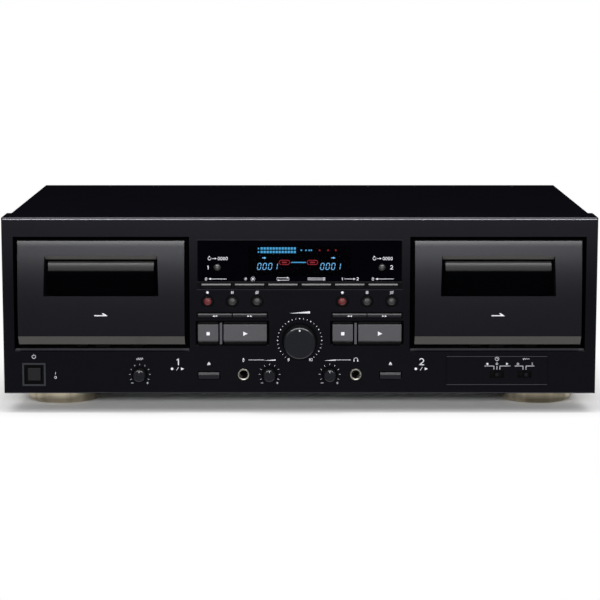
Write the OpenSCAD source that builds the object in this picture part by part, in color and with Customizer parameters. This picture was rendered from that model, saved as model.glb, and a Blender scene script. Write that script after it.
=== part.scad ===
// Double cassette deck
// Units are millimetres. +Z is up, the front faces -Y and the origin is below the middle of the deck.
// Depths inside a module are measured backwards from the face of the front panel.

/* [Cabinet] */
// Height of the feet
foot_h = 15; // [12:0.5:22]
// Radius of a foot
foot_r = 28.3; // [20:0.1:32]
// Depth from the face of the front panel to the back of the rear panel
body_d = 262; // [250:1:330]
// Sheet thickness of the cover and the rear panel
sheet_t = 1; // [0.8:0.1:1.6]
// Sheet thickness of the chassis pan
pan_t = 1.2; // [1:0.1:2]
// How far the cover stands in from each side of the front panel
cover_inset = 2.5; // [2:0.1:4]
// How far the cover lies below the top of the front panel
cover_drop = 0.8; // [0.3:0.1:2]

/* [Front panel] */
// Strip outside each door opening
side_margin = 9; // [7:0.1:20]
// Strip between a door opening and the centre controls
centre_gap = 5.8; // [5:0.1:14]
// Band above the door openings
top_band_h = 14.7; // [12:0.1:22]
// Thickness of the front wall
plate_t = 3; // [2.6:0.1:4.5]
// Depth of the moulding
fascia_d = 33; // [31:0.5:48]
// Thickness of the rim of the moulding
rim_t = 2.6; // [2:0.1:3.2]
// Height of the bevel along the top edge
top_bevel = 2; // [1:0.1:3]
// Bevel along the other edges
edge_bevel = 0.9; // [0.4:0.1:1.5]
// Bevel around the openings
opening_bevel = 0.8; // [0.4:0.1:1.2]
// Height of the bevel along the foot of a door opening
sill_bevel = 2; // [0.8:0.1:2.4]

/* [Rows of controls] */
// Lowest row above the lower edge of the panel
lower_rise = 14.3; // [13:0.1:20]
// Transport trays above the lowest row
tray_clear = 9.2; // [8.6:0.1:16]
// Stop and play keys above the lowest row
play_rise = 30.65; // [27:0.05:40]
// Wind keys above the stop and play keys
wind_rise = 13.3; // [12:0.1:18]
// Round buttons above the wind keys
round_rise = 10.05; // [8:0.05:16]
// Strip keys above the round buttons
strip_rise = 11.85; // [8.5:0.05:18]
// Display window above the middle of the strip keys
display_rise = 2.95; // [2.7:0.05:6]
// Panel above the display window
display_margin = 16.6; // [12:0.1:24]
// Record level knob below the stop and play keys
level_drop = 5.4; // [0:0.1:8]

/* [Doors] */
// Width of a door opening
door_open_w = 127.1; // [122:0.1:145]
// Height of a door opening
door_open_h = 82; // [76:0.5:100]
// Gap at each side of a door
door_side_gap = 2.7; // [1:0.1:3]
// Gap above a door
door_top_gap = 2.1; // [1:0.1:3]
// Gap below a door
door_bottom_gap = 3.5; // [3:0.1:4.5]
// How far a door stands out of the panel
door_proud = 6; // [5:0.1:8]
// Radius of the bowed door face
door_face_r = 370; // [330:5:600]
// Height of the slope under a door
door_slope_h = 6.8; // [5:0.1:8]
// Width of the window opening in a door
lens_open_w = 80.4; // [70:0.1:84]
// Height of the window opening in a door
lens_open_h = 26.4; // [22:0.1:28]
// Window opening above the lower edge of the door
lens_rise = 36.3; // [33:0.1:38]
// Gap between a door window and its opening
lens_gap = 1.5; // [0.6:0.1:2]
// Radius of the rounded top of a door window
lens_r = 10; // [9:0.1:12]

/* [Cassette] */
// Width of a cassette
cassette_w = 100.4; // [99:0.1:102]
// Thickness of a cassette
cassette_t = 12; // [11.5:0.1:13]
// Distance between the two spindles
hub_pitch = 42.5; // [40:0.1:44]
// Spindles above the head edge of a cassette
hub_rise = 34.6; // [33:0.1:36]
// Play of a cassette in its holder
cassette_play = 0.5; // [0.3:0.1:0.8]

/* [Transport] */
// Radius of the pinch roller
pinch_r = 6.5; // [5.5:0.1:7]
// Radius of the capstan
capstan_r = 1.2; // [1:0.1:1.5]
// Radius of the flywheel
flywheel_r = 23; // [18:0.5:24]
// Thickness of the flywheel
flywheel_t = 8; // [6:0.5:10]
// Rise of the head carriage from stop to play
head_travel = 7; // [5:0.1:7.5]
// Radius of the motor can
motor_r = 14; // [11:0.5:15]
// Length of the motor can
motor_l = 25; // [20:1:35]
// Thickness of the transport plate
frame_t = 1.6; // [1.4:0.1:2.2]

/* [Display] */
// Half the width of the display window
display_half = 74.5; // [68:0.1:90]
// Height of the display window
display_h = 30.3; // [26:0.1:40]
// Thickness of the display window
display_t = 1.8; // [1.4:0.1:2]
// Width of the display tube
tube_w = 76; // [60:1:90]
// Height of the display tube
tube_h = 22; // [16:0.5:25]

/* [Keys] */
// Clearance around a key
key_gap = 0.35; // [0.3:0.05:0.45]
// Travel of a key
key_travel = 0.8; // [0.5:0.1:1]
// Gap between the keys of the strip
strip_space = 2.9; // [2:0.1:5]
// Width of a strip key
strip_w = 21.5; // [16:0.1:26]
// Height of a strip key
strip_h = 3.3; // [2.6:0.1:4.2]
// How far the bar keys stand out
bar_proud = 1.8; // [1:0.1:3]
// Distance between the round buttons
round_pitch = 18.1; // [12:0.1:20]
// Radius of a round button
round_r = 2.95; // [2.4:0.05:3.4]
// Radius of the dish around a round button
dish_r = 4.5; // [4.2:0.1:5]
// Depth of the dish around a round button
dish_d = 1.6; // [0.8:0.1:1.8]
// Radius of a counter reset button
reset_r = 2.3; // [1.8:0.1:2.8]
// Counter reset buttons in from the side of the display window
reset_inset = 14.3; // [8:0.1:20]
// Height of a wind key
wind_h = 2.9; // [2.6:0.1:3.6]
// Width of the opening of the stop and play keys
play_open_w = 52.6; // [46:0.1:62]
// Height of the opening of the stop and play keys
play_open_h = 17.1; // [15:0.1:18.5]
// Width of a stop key
stop_w = 14.9; // [12:0.1:18]
// Width of the fixed bar between stop and play
bar_w = 1.7; // [1.2:0.1:2.4]
// How far the stop and play keys stand out
play_proud = 2.6; // [1:0.1:4]
// Width of an eject key
eject_w = 15.3; // [12:0.1:18]
// Height of an eject key
eject_h = 4.8; // [4:0.1:6]
// Travel of an eject key
eject_travel = 3; // [2:0.1:4]
// Eject keys outside the jacks
eject_step = 25.5; // [20:0.1:32]
// Width of the power button
power_w = 10; // [8:0.1:11]
// Width of the frame around the power button
power_frame_w = 17.7; // [16.5:0.1:22]
// Travel of the power button
power_travel = 4; // [3:0.1:5]

/* [Knobs and switches] */
// Radius of the record level knob
level_r = 11.5; // [9:0.1:12]
// How far the record level knob stands out
level_proud = 14; // [11:0.5:18]
// Radius of a small knob
small_r = 4.3; // [3.8:0.1:4.8]
// How far a small knob stands out
small_proud = 8.4; // [6:0.1:11]
// Depth of the recess behind a knob
knob_recess = 1; // [0.6:0.1:1.4]
// Gap between a knob and the edge of its recess
knob_gap = 1.1; // [0.8:0.1:1.4]
// Level knobs of microphone and headphones from the centre line
small_x = 22.1; // [15:0.1:26]
// Jacks outside the level knobs
jack_step = 19.1; // [16:0.1:26]
// Bore of a jack
jack_r = 3.2; // [3.15:0.01:3.3]
// Radius of the ring of a jack
jack_ring_r = 4.3; // [4.2:0.1:5.4]
// Width of the raised plate of the slide switches
switch_plate_w = 74.7; // [66:0.1:90]
// Height of the raised plate of the slide switches
switch_plate_h = 22; // [16:0.1:26]
// Distance between the two slide switches
switch_pitch = 20.3; // [17:0.1:25]
// Travel of a slider from one position to the next
slide_step = 2.2; // [1.5:0.1:2.4]

/* [Back] */
// How far the sockets stand out at the back
socket_proud = 10; // [8:0.5:12]
// Radius of the sleeve of a signal socket
socket_r = 4.15; // [4.1:0.05:4.2]
// Distance between neighbouring signal sockets
socket_pitch = 16; // [13:0.5:24]

/* [Hidden] */
$fn = 64;

fixed_nodes = [
  "chassis_pan", "top_cover", "rear_panel", "front_panel", "feet", "display_window", "display_tube",
  "front_board", "main_board", "power_transformer", "transport_frames", "drive_belts", "rear_sockets",
  "front_jacks", "screws"
];
single_nodes = [
  "power_button", "dimmer_button", "repeat_button", "parallel_button", "dubbing_button", "level_knob",
  "pitch_knob", "mic_knob", "phones_knob", "timer_slider", "noise_slider"
];
deck_nodes = [
  "record_button", "pause_button", "mute_button", "rewind_button", "forward_button", "stop_button",
  "play_button", "eject_button", "reset_button", "zero_button", "cassette_door", "door_window",
  "supply_spindle", "takeup_spindle", "flywheel", "head_carriage", "pinch_roller"
];
decks = [1, 2];

// Sizes that follow from the values above, from the lowest row of controls upwards
lower_z = foot_h + lower_rise;
play_z = lower_z + play_rise;
wind_z = play_z + wind_rise;
round_z = wind_z + round_rise;
strip_z = round_z + strip_rise;
display_bottom = strip_z + display_rise;
display_top = display_bottom + display_h;
level_z = play_z - level_drop;
reset_x = display_half - reset_inset;
reset_z = display_bottom + 10.4;

tray_wall = 1.6;
tray_lap = 2;
stud_r = 1.5;
guide_gap = 0.1;
tray_bottom = lower_z + tray_clear;
carriage_bottom = tray_bottom + tray_wall + 3;
stud_z = carriage_bottom + 2 + stud_r + 0.4 + head_travel;
carriage_top = stud_z + 3.2;
cassette_bottom = carriage_top + 2.2;
hub_z = cassette_bottom + hub_rise;
capstan_z = cassette_bottom + 9;
roller_z = capstan_z - capstan_r - pinch_r - head_travel - 0.3;

door_bottom = cassette_bottom - 7.6;
open_bottom = door_bottom - door_bottom_gap;
open_top = open_bottom + door_open_h;
door_top = open_top - door_top_gap;
tray_top = open_top + tray_lap;
body_top = max(open_top + top_band_h, display_top + display_margin);
panel_h = body_top - foot_h;

strip_pitch = strip_w + strip_space;
jack_x = small_x + jack_step;
eject_x = jack_x + eject_step;
centre_half = max(display_half + 1.1, 3 * strip_pitch + 2.4, play_open_w + level_r + knob_gap + 8);
deck_x = centre_half - play_open_w / 2;
body_w = 2 * (side_margin + door_open_w + centre_gap + centre_half);
door_x = body_w / 2 - side_margin - door_open_w / 2;
door_w = door_open_w - 2 * door_side_gap;
seam_x = centre_half + centre_gap / 2;
overall_d = level_proud + body_d + socket_proud;
face_y = level_proud - overall_d / 2;

seat = 0.05;
play_gap = 1.1;
play_key_h = play_open_h - 2 * play_gap - 1.5;
bar_x = -play_open_w / 2 + play_gap + stop_w + play_gap;
play_x0 = bar_x + bar_w + play_gap;
play_x1 = play_open_w / 2 - play_gap;
wind_split = 0.6;
wind_w = (play_open_w - 2 * play_gap - wind_split) / 2;
power_x = body_w / 2 - 22.2;
pitch_x = door_x - 27.4;

key_back = plate_t + 0.2;
flange_t = 1.2;
flange_lap = 0.8;
board_y = plate_t + 9;
board_t = 1.6;
tact_h = 5;
stem_end = board_y - tact_h - key_travel - 0.1;
board_half = centre_half + 2;
board_bottom = lower_z + 9.5;
board_top = body_top - rim_t - 4.4;
post_r = 2.5;
post_x = board_half - 7;
post_low = board_bottom + 3.5;
post_high = board_top - 4;
shelf_gap = 2.1;
shelf_z = foot_h + rim_t + shelf_gap + board_t;
shelf_y = [plate_t + 1, fascia_d - 2];

door_back = 2.5;
slot_back = door_back + cassette_t + cassette_play;
holder_half = cassette_w / 2 + cassette_play;
holder_wall = 2.4;
lip_t = 1.2;
lip_w = 4.5;
hinge_y = plate_t + 3;
hinge_z = door_bottom + 2.4;
pin_r = 1.5;
pin_play = 0.06;
ear_gap = 0.6;
ear_w = 4;
ear_r = 2.9;
frame_face = slot_back + lip_t + 0.5;
frame_back = frame_face + frame_t;
tray_half = door_open_w / 2 + tray_lap;
lug_x = 45;
lug_r = 3.2;
lug_z = tray_top + lug_r;

spindle_r = 3.3;
spindle_disc_r = 9;
spindle_shaft_r = 1.5;
capstan_x = 25;
capstan_tip = 5.5;
roller_y = [5.6, 12.6];
axle_r = 1;
carriage_y = [slot_back + 0.1, frame_face - 0.3];
carriage_half = 36.5;
stud_x = 33;
flywheel_y = frame_back + 2.4;
motor_x = -28;
motor_z = capstan_z - 6;
pulley_r = 5;
belt_w = 4.5;
belt_t = 1.2;
belt_gap = 0.3;
belt_y = flywheel_y + flywheel_t / 2 - belt_w / 2;
bridge_y = flywheel_y + flywheel_t + 1.8;
bridge_t = 1.4;
bridge_x = [motor_x - motor_r - 4, capstan_x + flywheel_r + 6.5];
bridge_z = [capstan_z - flywheel_r - 1.5, capstan_z + flywheel_r + 4.5];

cover_half = body_w / 2 - cover_inset;
cover_top = body_top - cover_drop;
floor_z = foot_h + pan_t;
pan_front = fascia_d + 0.2;
pan_half = cover_half - sheet_t;
pan_side_h = 14;
rear_y = body_d - sheet_t;
foot_x = body_w / 2 - 37.5;
foot_front = 64;
foot_rear = body_d - 48;
screw_r = 1.4;
screw_hole_r = 1.6;
head_r = 3;
head_t = 1.8;

// Shared shapes
module at_face() {
  translate([0, face_y, 0]) children();
}

module at_deck(d) {
  translate([d == 1 ? -door_x : door_x, face_y, 0]) children();
}

module block(x, y, z) {
  translate([x[0], y[0], z[0]]) cube([x[1] - x[0], y[1] - y[0], z[1] - z[0]]);
}

module along_x(w) {
  translate([-w / 2, 0, 0]) rotate([90, 0, 90]) linear_extrude(w) children();
}

module rod_x(r, x) {
  translate([x[0], 0, 0]) rotate([0, 90, 0]) cylinder(r = r, h = x[1] - x[0]);
}

module rod_y(r, y) {
  translate([0, y[0], 0]) rotate([-90, 0, 0]) cylinder(r = r, h = y[1] - y[0]);
}

module cone_y(r, y) {
  translate([0, y[0], 0]) rotate([-90, 0, 0]) cylinder(r1 = r[0], r2 = r[1], h = y[1] - y[0]);
}

// A turned piece around the depth axis, its outline given as radius and depth
module turned_y(outline) {
  rotate([-90, 0, 0]) rotate_extrude() polygon(outline);
}

// A rectangular opening that widens towards the front, for bevels around openings
module flare(x, z, y, out) {
  near = [[x[0] - out[0], z[0] - out[1]], [x[1] + out[0], z[0] - out[1]],
          [x[1] + out[0], z[1] + out[2]], [x[0] - out[0], z[1] + out[2]]];
  far = [[x[0], z[0]], [x[1], z[0]], [x[1], z[1]], [x[0], z[1]]];
  points = concat([for (p = near) [p[0], y[0], p[1]]], [for (p = far) [p[0], y[1], p[1]]]);
  faces = [[3, 2, 1, 0], [4, 5, 6, 7], [0, 1, 5, 4], [1, 2, 6, 5], [2, 3, 7, 6], [3, 0, 4, 7]];
  polyhedron(points, faces);
}

module bevelled_opening(x, z, b) {
  block(x, [-1, plate_t + 1], z);
  flare(x, z, [-1, b], [b + 1, b + 1, b + 1]);
}

module door_opening(x, z) {
  narrow = opening_bevel * (sill_bevel + 1) / sill_bevel;
  block(x, [-1, plate_t + 1], z);
  flare(x, z, [-1, sill_bevel], [narrow, sill_bevel + 1, narrow]);
}

// Front panel: three faces side by side on a rim of four rails, with every opening, the raised frames and the posts
module fascia_form() {
  side = [[plate_t / 2, body_top], [fascia_d, body_top], [fascia_d, foot_h], [edge_bevel, foot_h],
          [0, foot_h + edge_bevel], [0, body_top - top_bevel], [top_bevel * 0.7, body_top]];
  plan = [[-body_w / 2, fascia_d], [-body_w / 2, edge_bevel], [-body_w / 2 + edge_bevel, 0],
          [body_w / 2 - edge_bevel, 0], [body_w / 2, edge_bevel], [body_w / 2, fascia_d]];
  intersection() {
    along_x(body_w) polygon(side);
    linear_extrude(body_top + 1) polygon(plan);
  }
}

module fascia_piece(x, y, z) {
  intersection() {
    fascia_form();
    block(x, y, z);
  }
}

module fascia_body() {
  end = body_w / 2 + 1;
  face = [-1, plate_t];
  rim = [plate_t + seat, fascia_d + 1];
  tall = [foot_h - 1, body_top + 1];
  fascia_piece([-seam_x + seat, seam_x - seat], face, tall);
  for (s = [-1, 1])
    mirror([s < 0 ? 1 : 0, 0, 0]) {
      fascia_piece([seam_x, end], face, tall);
      fascia_piece([body_w / 2 - rim_t, end], rim, [foot_h + rim_t + seat, body_top - rim_t - seat]);
    }
  fascia_piece([-end, end], rim, [body_top - rim_t, body_top + 1]);
  fascia_piece([-end, end], rim, [foot_h - 1, foot_h + rim_t]);
}

module power_frame() {
  w = power_frame_w / 2;
  x = [-power_x - w, -power_x + w];
  z = [lower_z - w, lower_z + w];
  flare(x, z, [-0.8, 0.1], [-0.3, -0.3, -0.3]);
}

module switch_plate() {
  w = switch_plate_w / 2;
  z = lower_z + 2.9;
  h = switch_plate_h / 2;
  flare([door_x - w, door_x + w], [z - h, z + h], [-0.5, 0.1], [-0.3, -0.3, -0.3]);
}

module fascia_posts() {
  for (x = [-post_x, post_x])
    for (z = [post_low, post_high])
      translate([x, 0, z]) rod_y(post_r, [plate_t - 0.5, board_y]);
  for (d = decks)
    for (x = [-lug_x, lug_x])
      translate([(d == 1 ? -door_x : door_x) + x, 0, lug_z]) rod_y(lug_r, [plate_t - 0.5, plate_t + 6]);
  for (x = shelf_posts)
    for (y = [shelf_y[0] + 4, shelf_y[1] - 4])
      translate([x, y, foot_h + rim_t - 0.5]) cylinder(r = post_r, h = shelf_gap + 0.5);
}

module fascia_post_holes() {
  for (x = [-post_x, post_x])
    for (z = [post_low, post_high])
      translate([x, 0, z]) rod_y(screw_hole_r, [plate_t + 2, board_y + 1]);
  for (d = decks)
    for (x = [-lug_x, lug_x])
      translate([(d == 1 ? -door_x : door_x) + x, 0, lug_z]) rod_y(screw_hole_r, [plate_t + 0.6, plate_t + 7]);
}

module fascia_openings() {
  for (x = [-door_x, door_x])
    door_opening([x - door_open_w / 2, x + door_open_w / 2], [open_bottom, open_top]);
  block([-display_half, display_half], [-1, 0.4 + display_t], [display_bottom, display_top]);
  flare([-display_half, display_half], [display_bottom, display_top], [-1, 0.4], [1.4, 1.4, 1.4]);
  block([-display_half + 2.5, display_half - 2.5], [-1, plate_t + 1], [display_bottom + 2.5, display_top - 2.5]);
  for (i = [-2.5:2.5])
    translate([i * strip_pitch, 0, strip_z]) bar_slot(strip_w, strip_h);
  block([-centre_half + 0.6, centre_half - 0.6], [-1, 0.5], [strip_z - 2.55, strip_z + 2.55]);
  for (s = [-1, 1])
    translate([s * deck_x, 0, 0]) deck_openings();
  for (x = [-eject_x, eject_x])
    translate([x, 0, lower_z - 0.8]) bar_slot(eject_w, eject_h);
}

module bar_slot(w, h) {
  x = w / 2 + key_gap;
  z = h / 2 + key_gap;
  block([-x, x], [-1, plate_t + 1], [-z, z]);
  flare([-x, x], [-z, z], [-1, 0.3], [1.3, 1.3, 1.3]);
}

module deck_openings() {
  w = play_open_w / 2;
  h = play_open_h / 2;
  for (i = [-1:1])
    translate([i * round_pitch, 0, round_z]) {
      rod_y(round_r + key_gap, [0, plate_t + 1]);
      rod_y(dish_r, [-1, dish_d]);
      cone_y([dish_r + 1.4, dish_r], [-1, 0.4]);
    }
  block([-w, w], [-1, 1], [wind_z - wind_h / 2 - 0.95, wind_z + wind_h / 2 + 0.95]);
  block([-w + play_gap - key_gap, w - play_gap + key_gap], [0, plate_t + 1],
        [wind_z - wind_h / 2 - key_gap, wind_z + wind_h / 2 + key_gap]);
  bevelled_opening([-w, w], [play_z - h, play_z + h], opening_bevel);
}

module control_openings() {
  recess = power_frame_w / 2 - 1.6;
  hole = power_w / 2 + key_gap;
  block([-power_x - recess, -power_x + recess], [-2, 2], [lower_z - recess, lower_z + recess]);
  block([-power_x - hole, -power_x + hole], [0, plate_t + 1], [lower_z - hole, lower_z + hole]);
  translate([0, 0, level_z]) knob_opening(level_r);
  for (x = [-pitch_x, -small_x, small_x])
    translate([x, 0, lower_z]) knob_opening(small_r);
  for (x = [-jack_x, jack_x])
    translate([x, 0, lower_z]) rod_y(jack_ring_r - 0.5, [-1, plate_t + 1]);
  for (x = [door_x, door_x + switch_pitch])
    translate([x, 0, lower_z]) {
      block([-5.25, 5.25], [-2, 1.2], [-2.75, 2.75]);
      block([-4.25, 4.25], [0, plate_t + 1], [-1.6, 1.6]);
    }
}

module knob_opening(r) {
  rod_y(r + knob_gap, [-1, knob_recess]);
  cone_y([r + knob_gap + 1.4, r + knob_gap], [-1, 0.4]);
  rod_y(3.6, [0, plate_t + 1]);
}

module play_bars() {
  z = play_open_h / 2;
  for (s = [-1, 1])
    translate([s * deck_x, 0, play_z])
      block([bar_x, bar_x + bar_w], [-play_proud + 0.6, plate_t], [-z + 0.7, z - 0.7]);
  for (s = [-1, 1])
    translate([s * deck_x, 0, play_z])
      block([bar_x, bar_x + bar_w], [opening_bevel + 0.3, plate_t], [-z - 1, z + 1]);
}

module front_panel() {
  color([0.09, 0.09, 0.11]) at_face() {
    difference() {
      union() {
        fascia_body();
        power_frame();
        switch_plate();
        fascia_posts();
      }
      fascia_openings();
      control_openings();
      fascia_post_holes();
    }
    play_bars();
  }
}

// Cassette doors: a bowed face with the holder for the cassette moulded behind it
module door_outline() {
  outline = [[door_back, door_bottom], [-0.5, door_bottom], [-door_proud, door_bottom + door_slope_h],
             [-door_proud, door_top], [door_back, door_top]];
  intersection() {
    polygon(outline);
    translate([door_face_r - door_proud, door_bottom + 14.2]) circle(r = door_face_r, $fn = 256);
  }
}

module cassette_door(d) {
  lens_half = lens_open_w / 2;
  lens_z = [door_bottom + lens_rise, door_bottom + lens_rise + lens_open_h];
  color([0.17, 0.17, 0.19]) at_deck(d) {
    difference() {
      along_x(door_w) door_outline();
      block([-lens_half, lens_half], [-door_proud - 1, door_back + 1], lens_z);
      flare([-lens_half, lens_half], lens_z, [-door_proud - 1, 0.4], [2.3, 0.1, 7.4]);
      block([-lens_half - 3, lens_half + 3], [0.6, door_back + 1], [lens_z[0] - 3, lens_z[1] + 3]);
      block([-holder_half + 2, holder_half - 2], [-2.4, door_back + 1], [cassette_bottom + 2, lens_z[0] - 6]);
    }
    for (s = [-1, 1])
      mirror([s < 0 ? 1 : 0, 0, 0]) holder_side();
  }
}

module holder_side() {
  x = [holder_half, holder_half + holder_wall];
  top = door_top - 6.8;
  union() {
    block(x, [door_back - 0.5, slot_back + lip_t], [cassette_bottom - 1.7, top]);
    block([holder_half - lip_w, x[1]], [slot_back, slot_back + lip_t], [cassette_bottom - 1.7, top]);
    block([holder_half - 8, x[1]], [door_back - 0.5, slot_back + lip_t], [cassette_bottom - 1.7, cassette_bottom - 0.2]);
    block(x, [door_back - 0.5, hinge_y + 2.6], [hinge_z - 2.2, cassette_bottom]);
    translate([0, hinge_y, hinge_z]) rod_x(pin_r, [x[0] + 0.5, x[1] + ear_gap + ear_w - 0.4]);
  }
}

// Door windows: a smoked moulding with a rounded top, held by a flange behind the door
module door_window(d) {
  half = lens_open_w / 2;
  z = [door_bottom + lens_rise, door_bottom + lens_rise + lens_open_h];
  face = -3.4;
  top = z[1] - lens_gap + 0.2;
  color([0.03, 0.03, 0.04]) at_deck(d) {
    along_x(2 * (half + 2.6)) translate([0.6, z[0] - 2.6]) square([1.6, lens_open_h + 5.2]);
    along_x(2 * (half - lens_gap)) intersection() {
      translate([face, z[0] + 0.4]) square([4.2, top - z[0] - 0.4]);
      union() {
        translate([face + lens_r, top - lens_r + 0.6]) circle(r = lens_r, $fn = 128);
        translate([face, z[0]]) square([5, top - z[0] - lens_r + 0.6]);
      }
    }
  }
}

// Display: a dark window set in the panel and the tube behind it
module display_window() {
  x = display_half - 0.3;
  color([0.02, 0.02, 0.03]) at_face() difference() {
    block([-x, x], [0.4, 0.4 + display_t], [display_bottom + 0.3, display_top - 0.3]);
    for (s = [-1, 1])
      translate([s * reset_x, 0, reset_z]) rod_y(reset_r + key_gap, [0, plate_t]);
  }
}

module display_tube() {
  z = (display_top + display_bottom) / 2;
  color([0.05, 0.07, 0.08]) at_face() {
    block([-tube_w / 2, tube_w / 2], [board_y - 7, board_y - 1.2 - seat], [z - tube_h / 2, z + tube_h / 2]);
    for (x = [-tube_w / 2 + 5, tube_w / 2 - 5])
      block([x - 2, x + 2], [board_y - 1.2, board_y], [z - tube_h / 2 + 2, z + tube_h / 2 - 2]);
  }
}

// Keys: a cap in the opening, a flange behind the panel and a stem that meets its switch
module bar_key(w, h, proud, end) {
  top = h * 0.36;
  low = h * 0.14;
  z = h / 2;
  cap = [[key_back, -z], [-proud + low, -z], [-proud, -z + low], [-proud, z - top], [-proud + top * 0.9, z],
         [key_back, z]];
  union() {
    along_x(w) polygon(cap);
    block([-w / 2, w / 2], [key_back, key_back + flange_t], [-z - flange_lap, z + flange_lap]);
    block([-1.5, 1.5], [key_back, end], [-1.4, 1.4]);
  }
}

module round_key(r, front, back) {
  dome = [[0, front - 0.9], [r * 0.35, front - 0.82], [r * 0.65, front - 0.55], [r * 0.88, front - 0.1],
          [r, front + 0.5], [r, back], [r + 1.1, back], [r + 1.1, back + flange_t], [1.5, back + flange_t],
          [1.5, stem_end], [0, stem_end]];
  turned_y(dome);
}

module press_key(w) {
  z = play_key_h / 2;
  cap = [[key_back, -z], [0.4, -z], [-play_proud, -z + 1.5], [-play_proud + 0.5, z - 0.5],
         [-play_proud + 1, z], [key_back, z]];
  union() {
    along_x(w) polygon(cap);
    block([-w / 2, w / 2], [key_back, key_back + flange_t], [-z - 2.2, z + 2.2]);
    block([-1.5, 1.5], [key_back, stem_end], [-1.5, 1.5]);
  }
}

module strip_key(i) {
  color([0.16, 0.16, 0.18]) at_face() translate([(i - 3.5) * strip_pitch, 0, strip_z])
    bar_key(strip_w, strip_h, bar_proud, stem_end);
}

module round_button(d, i, tone) {
  color(tone) at_face() translate([(d == 1 ? -deck_x : deck_x) + i * round_pitch, 0, round_z])
    round_key(round_r, 0.3, key_back);
}

module reset_button(d) {
  color([0.35, 0.35, 0.37]) at_face() translate([d == 1 ? -reset_x : reset_x, 0, reset_z])
    round_key(reset_r, 0, 0.6 + display_t);
}

module wind_button(d, s) {
  x = (d == 1 ? -deck_x : deck_x) + s * (wind_w + wind_split) / 2;
  color([0.16, 0.16, 0.18]) at_face() translate([x, 0, wind_z]) bar_key(wind_w, wind_h, bar_proud, stem_end);
}

module stop_button(d) {
  x = (d == 1 ? -deck_x : deck_x) - play_open_w / 2 + play_gap + stop_w / 2;
  color([0.38, 0.38, 0.39]) at_face() translate([x, 0, play_z]) press_key(stop_w);
}

module play_button(d) {
  x = (d == 1 ? -deck_x : deck_x) + (play_x0 + play_x1) / 2;
  color([0.38, 0.38, 0.39]) at_face() translate([x, 0, play_z]) press_key(play_x1 - play_x0);
}

module eject_button(d) {
  color([0.16, 0.16, 0.18]) at_face() translate([d == 1 ? -eject_x : eject_x, 0, lower_z - 0.8])
    bar_key(eject_w, eject_h, bar_proud, key_back + flange_t + eject_travel + 6);
}

module power_button() {
  w = power_w / 2;
  color([0.12, 0.12, 0.14]) at_face() translate([-power_x, 0, lower_z]) union() {
    flare([-w, w], [-w, w], [-0.2, 0.4], [-0.6, -0.6, -0.6]);
    block([-w, w], [0.4, key_back + 0.1], [-w, w]);
    block([-w - 0.8, w + 0.8], [key_back, key_back + flange_t], [-w - 0.8, w + 0.8]);
    block([-2, 2], [key_back, plate_t + 6], [-2, 2]);
  }
}

// Knobs: a cap with a pointer mark on the shaft of its potentiometer
module level_knob() {
  r = level_r;
  p = -level_proud;
  cap = [[0, p], [r - 0.8, p], [r, p + 0.8], [r, knob_recess - 0.4], [r - 1.6, knob_recess - 0.4],
         [r - 1.6, p + 3], [5, p + 3], [5, -0.5], [3.05, -0.5], [3.05, p + 4], [0, p + 4]];
  color([0.14, 0.14, 0.16]) at_face() translate([0, 0, level_z]) {
    difference() {
      turned_y(cap);
      translate([0, 0, r - 2.1]) rod_y(0.75, [p - 1, p + 0.3]);
    }
    rod_y(3, [p + 4.2, board_y - 3]);
  }
}

module small_knob(x) {
  r = small_r;
  p = -small_proud;
  cap = [[0, p], [r - 0.6, p], [r, p + 0.6], [r, knob_recess - 0.3], [3.05, knob_recess - 0.3],
         [3.05, p + 2.5], [0, p + 2.5]];
  color([0.14, 0.14, 0.16]) at_face() translate([x, 0, lower_z]) {
    difference() {
      turned_y(cap);
      block([-0.4, 0.4], [p - 1, p + 0.5], [0.8, r + 1]);
      for (a = [20:20:340])
        rotate([0, a, 0]) translate([0, 0, r + 0.25]) rod_y(0.5, [p - 1, -1.2]);
    }
    rod_y(3, [p + 2.7, plate_t + 6]);
  }
}

// Sliders of the timer and noise reduction switches
module slider(x) {
  color([0.13, 0.13, 0.15]) at_face() translate([x, 0, lower_z]) union() {
    block([-1.1, 1.1], [-1, plate_t + 2], [-1.3, 1.3]);
    for (i = [-1:1])
      block([i * 0.75 - 0.2, i * 0.75 + 0.2], [-1.3, -0.9], [-1.3, 1.3]);
    block([-5, 5], [plate_t + 0.3, plate_t + 1.3], [-2.4, 2.4]);
  }
}

// Boards behind the front panel with the switches and potentiometers that the controls work
shelf_posts = [-power_x - 5, -power_x + 5, -pitch_x - 8, -pitch_x + 8, -jack_x + 12, jack_x - 12,
               door_x - 6, door_x + switch_pitch + 6];

module tact(x, z) {
  translate([x, 0, z]) union() {
    block([-3, 3], [board_y - tact_h + 1.2, board_y - seat], [-3, 3]);
    rod_y(1.7, [board_y - tact_h, board_y - 2]);
  }
}

module tacts() {
  for (i = [-2.5:2.5])
    tact(i * strip_pitch, strip_z);
  for (s = [-1, 1]) {
    tact(s * reset_x, reset_z);
    for (i = [-1:1])
      tact(s * deck_x + i * round_pitch, round_z);
    for (i = [-0.5, 0.5])
      tact(s * deck_x + i * (wind_w + wind_split), wind_z);
    tact(s * deck_x - play_open_w / 2 + play_gap + stop_w / 2, play_z);
    tact(s * deck_x + (play_x0 + play_x1) / 2, play_z);
  }
}

module pot(x) {
  translate([x, 0, 0]) difference() {
    block([-6, 6], [plate_t + 1.5, plate_t + 9], [shelf_z + seat, lower_z + 6.5]);
    translate([0, 0, lower_z]) rod_y(3.08, [plate_t + 1, plate_t + 7]);
  }
}

module shelf(x) {
  block(x, shelf_y, [shelf_z - board_t, shelf_z]);
}

module slide_switch(x) {
  translate([x, 0, 0]) block([-6, 6], [plate_t + 2.4, plate_t + 8], [shelf_z + seat, lower_z + 4]);
}

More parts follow.
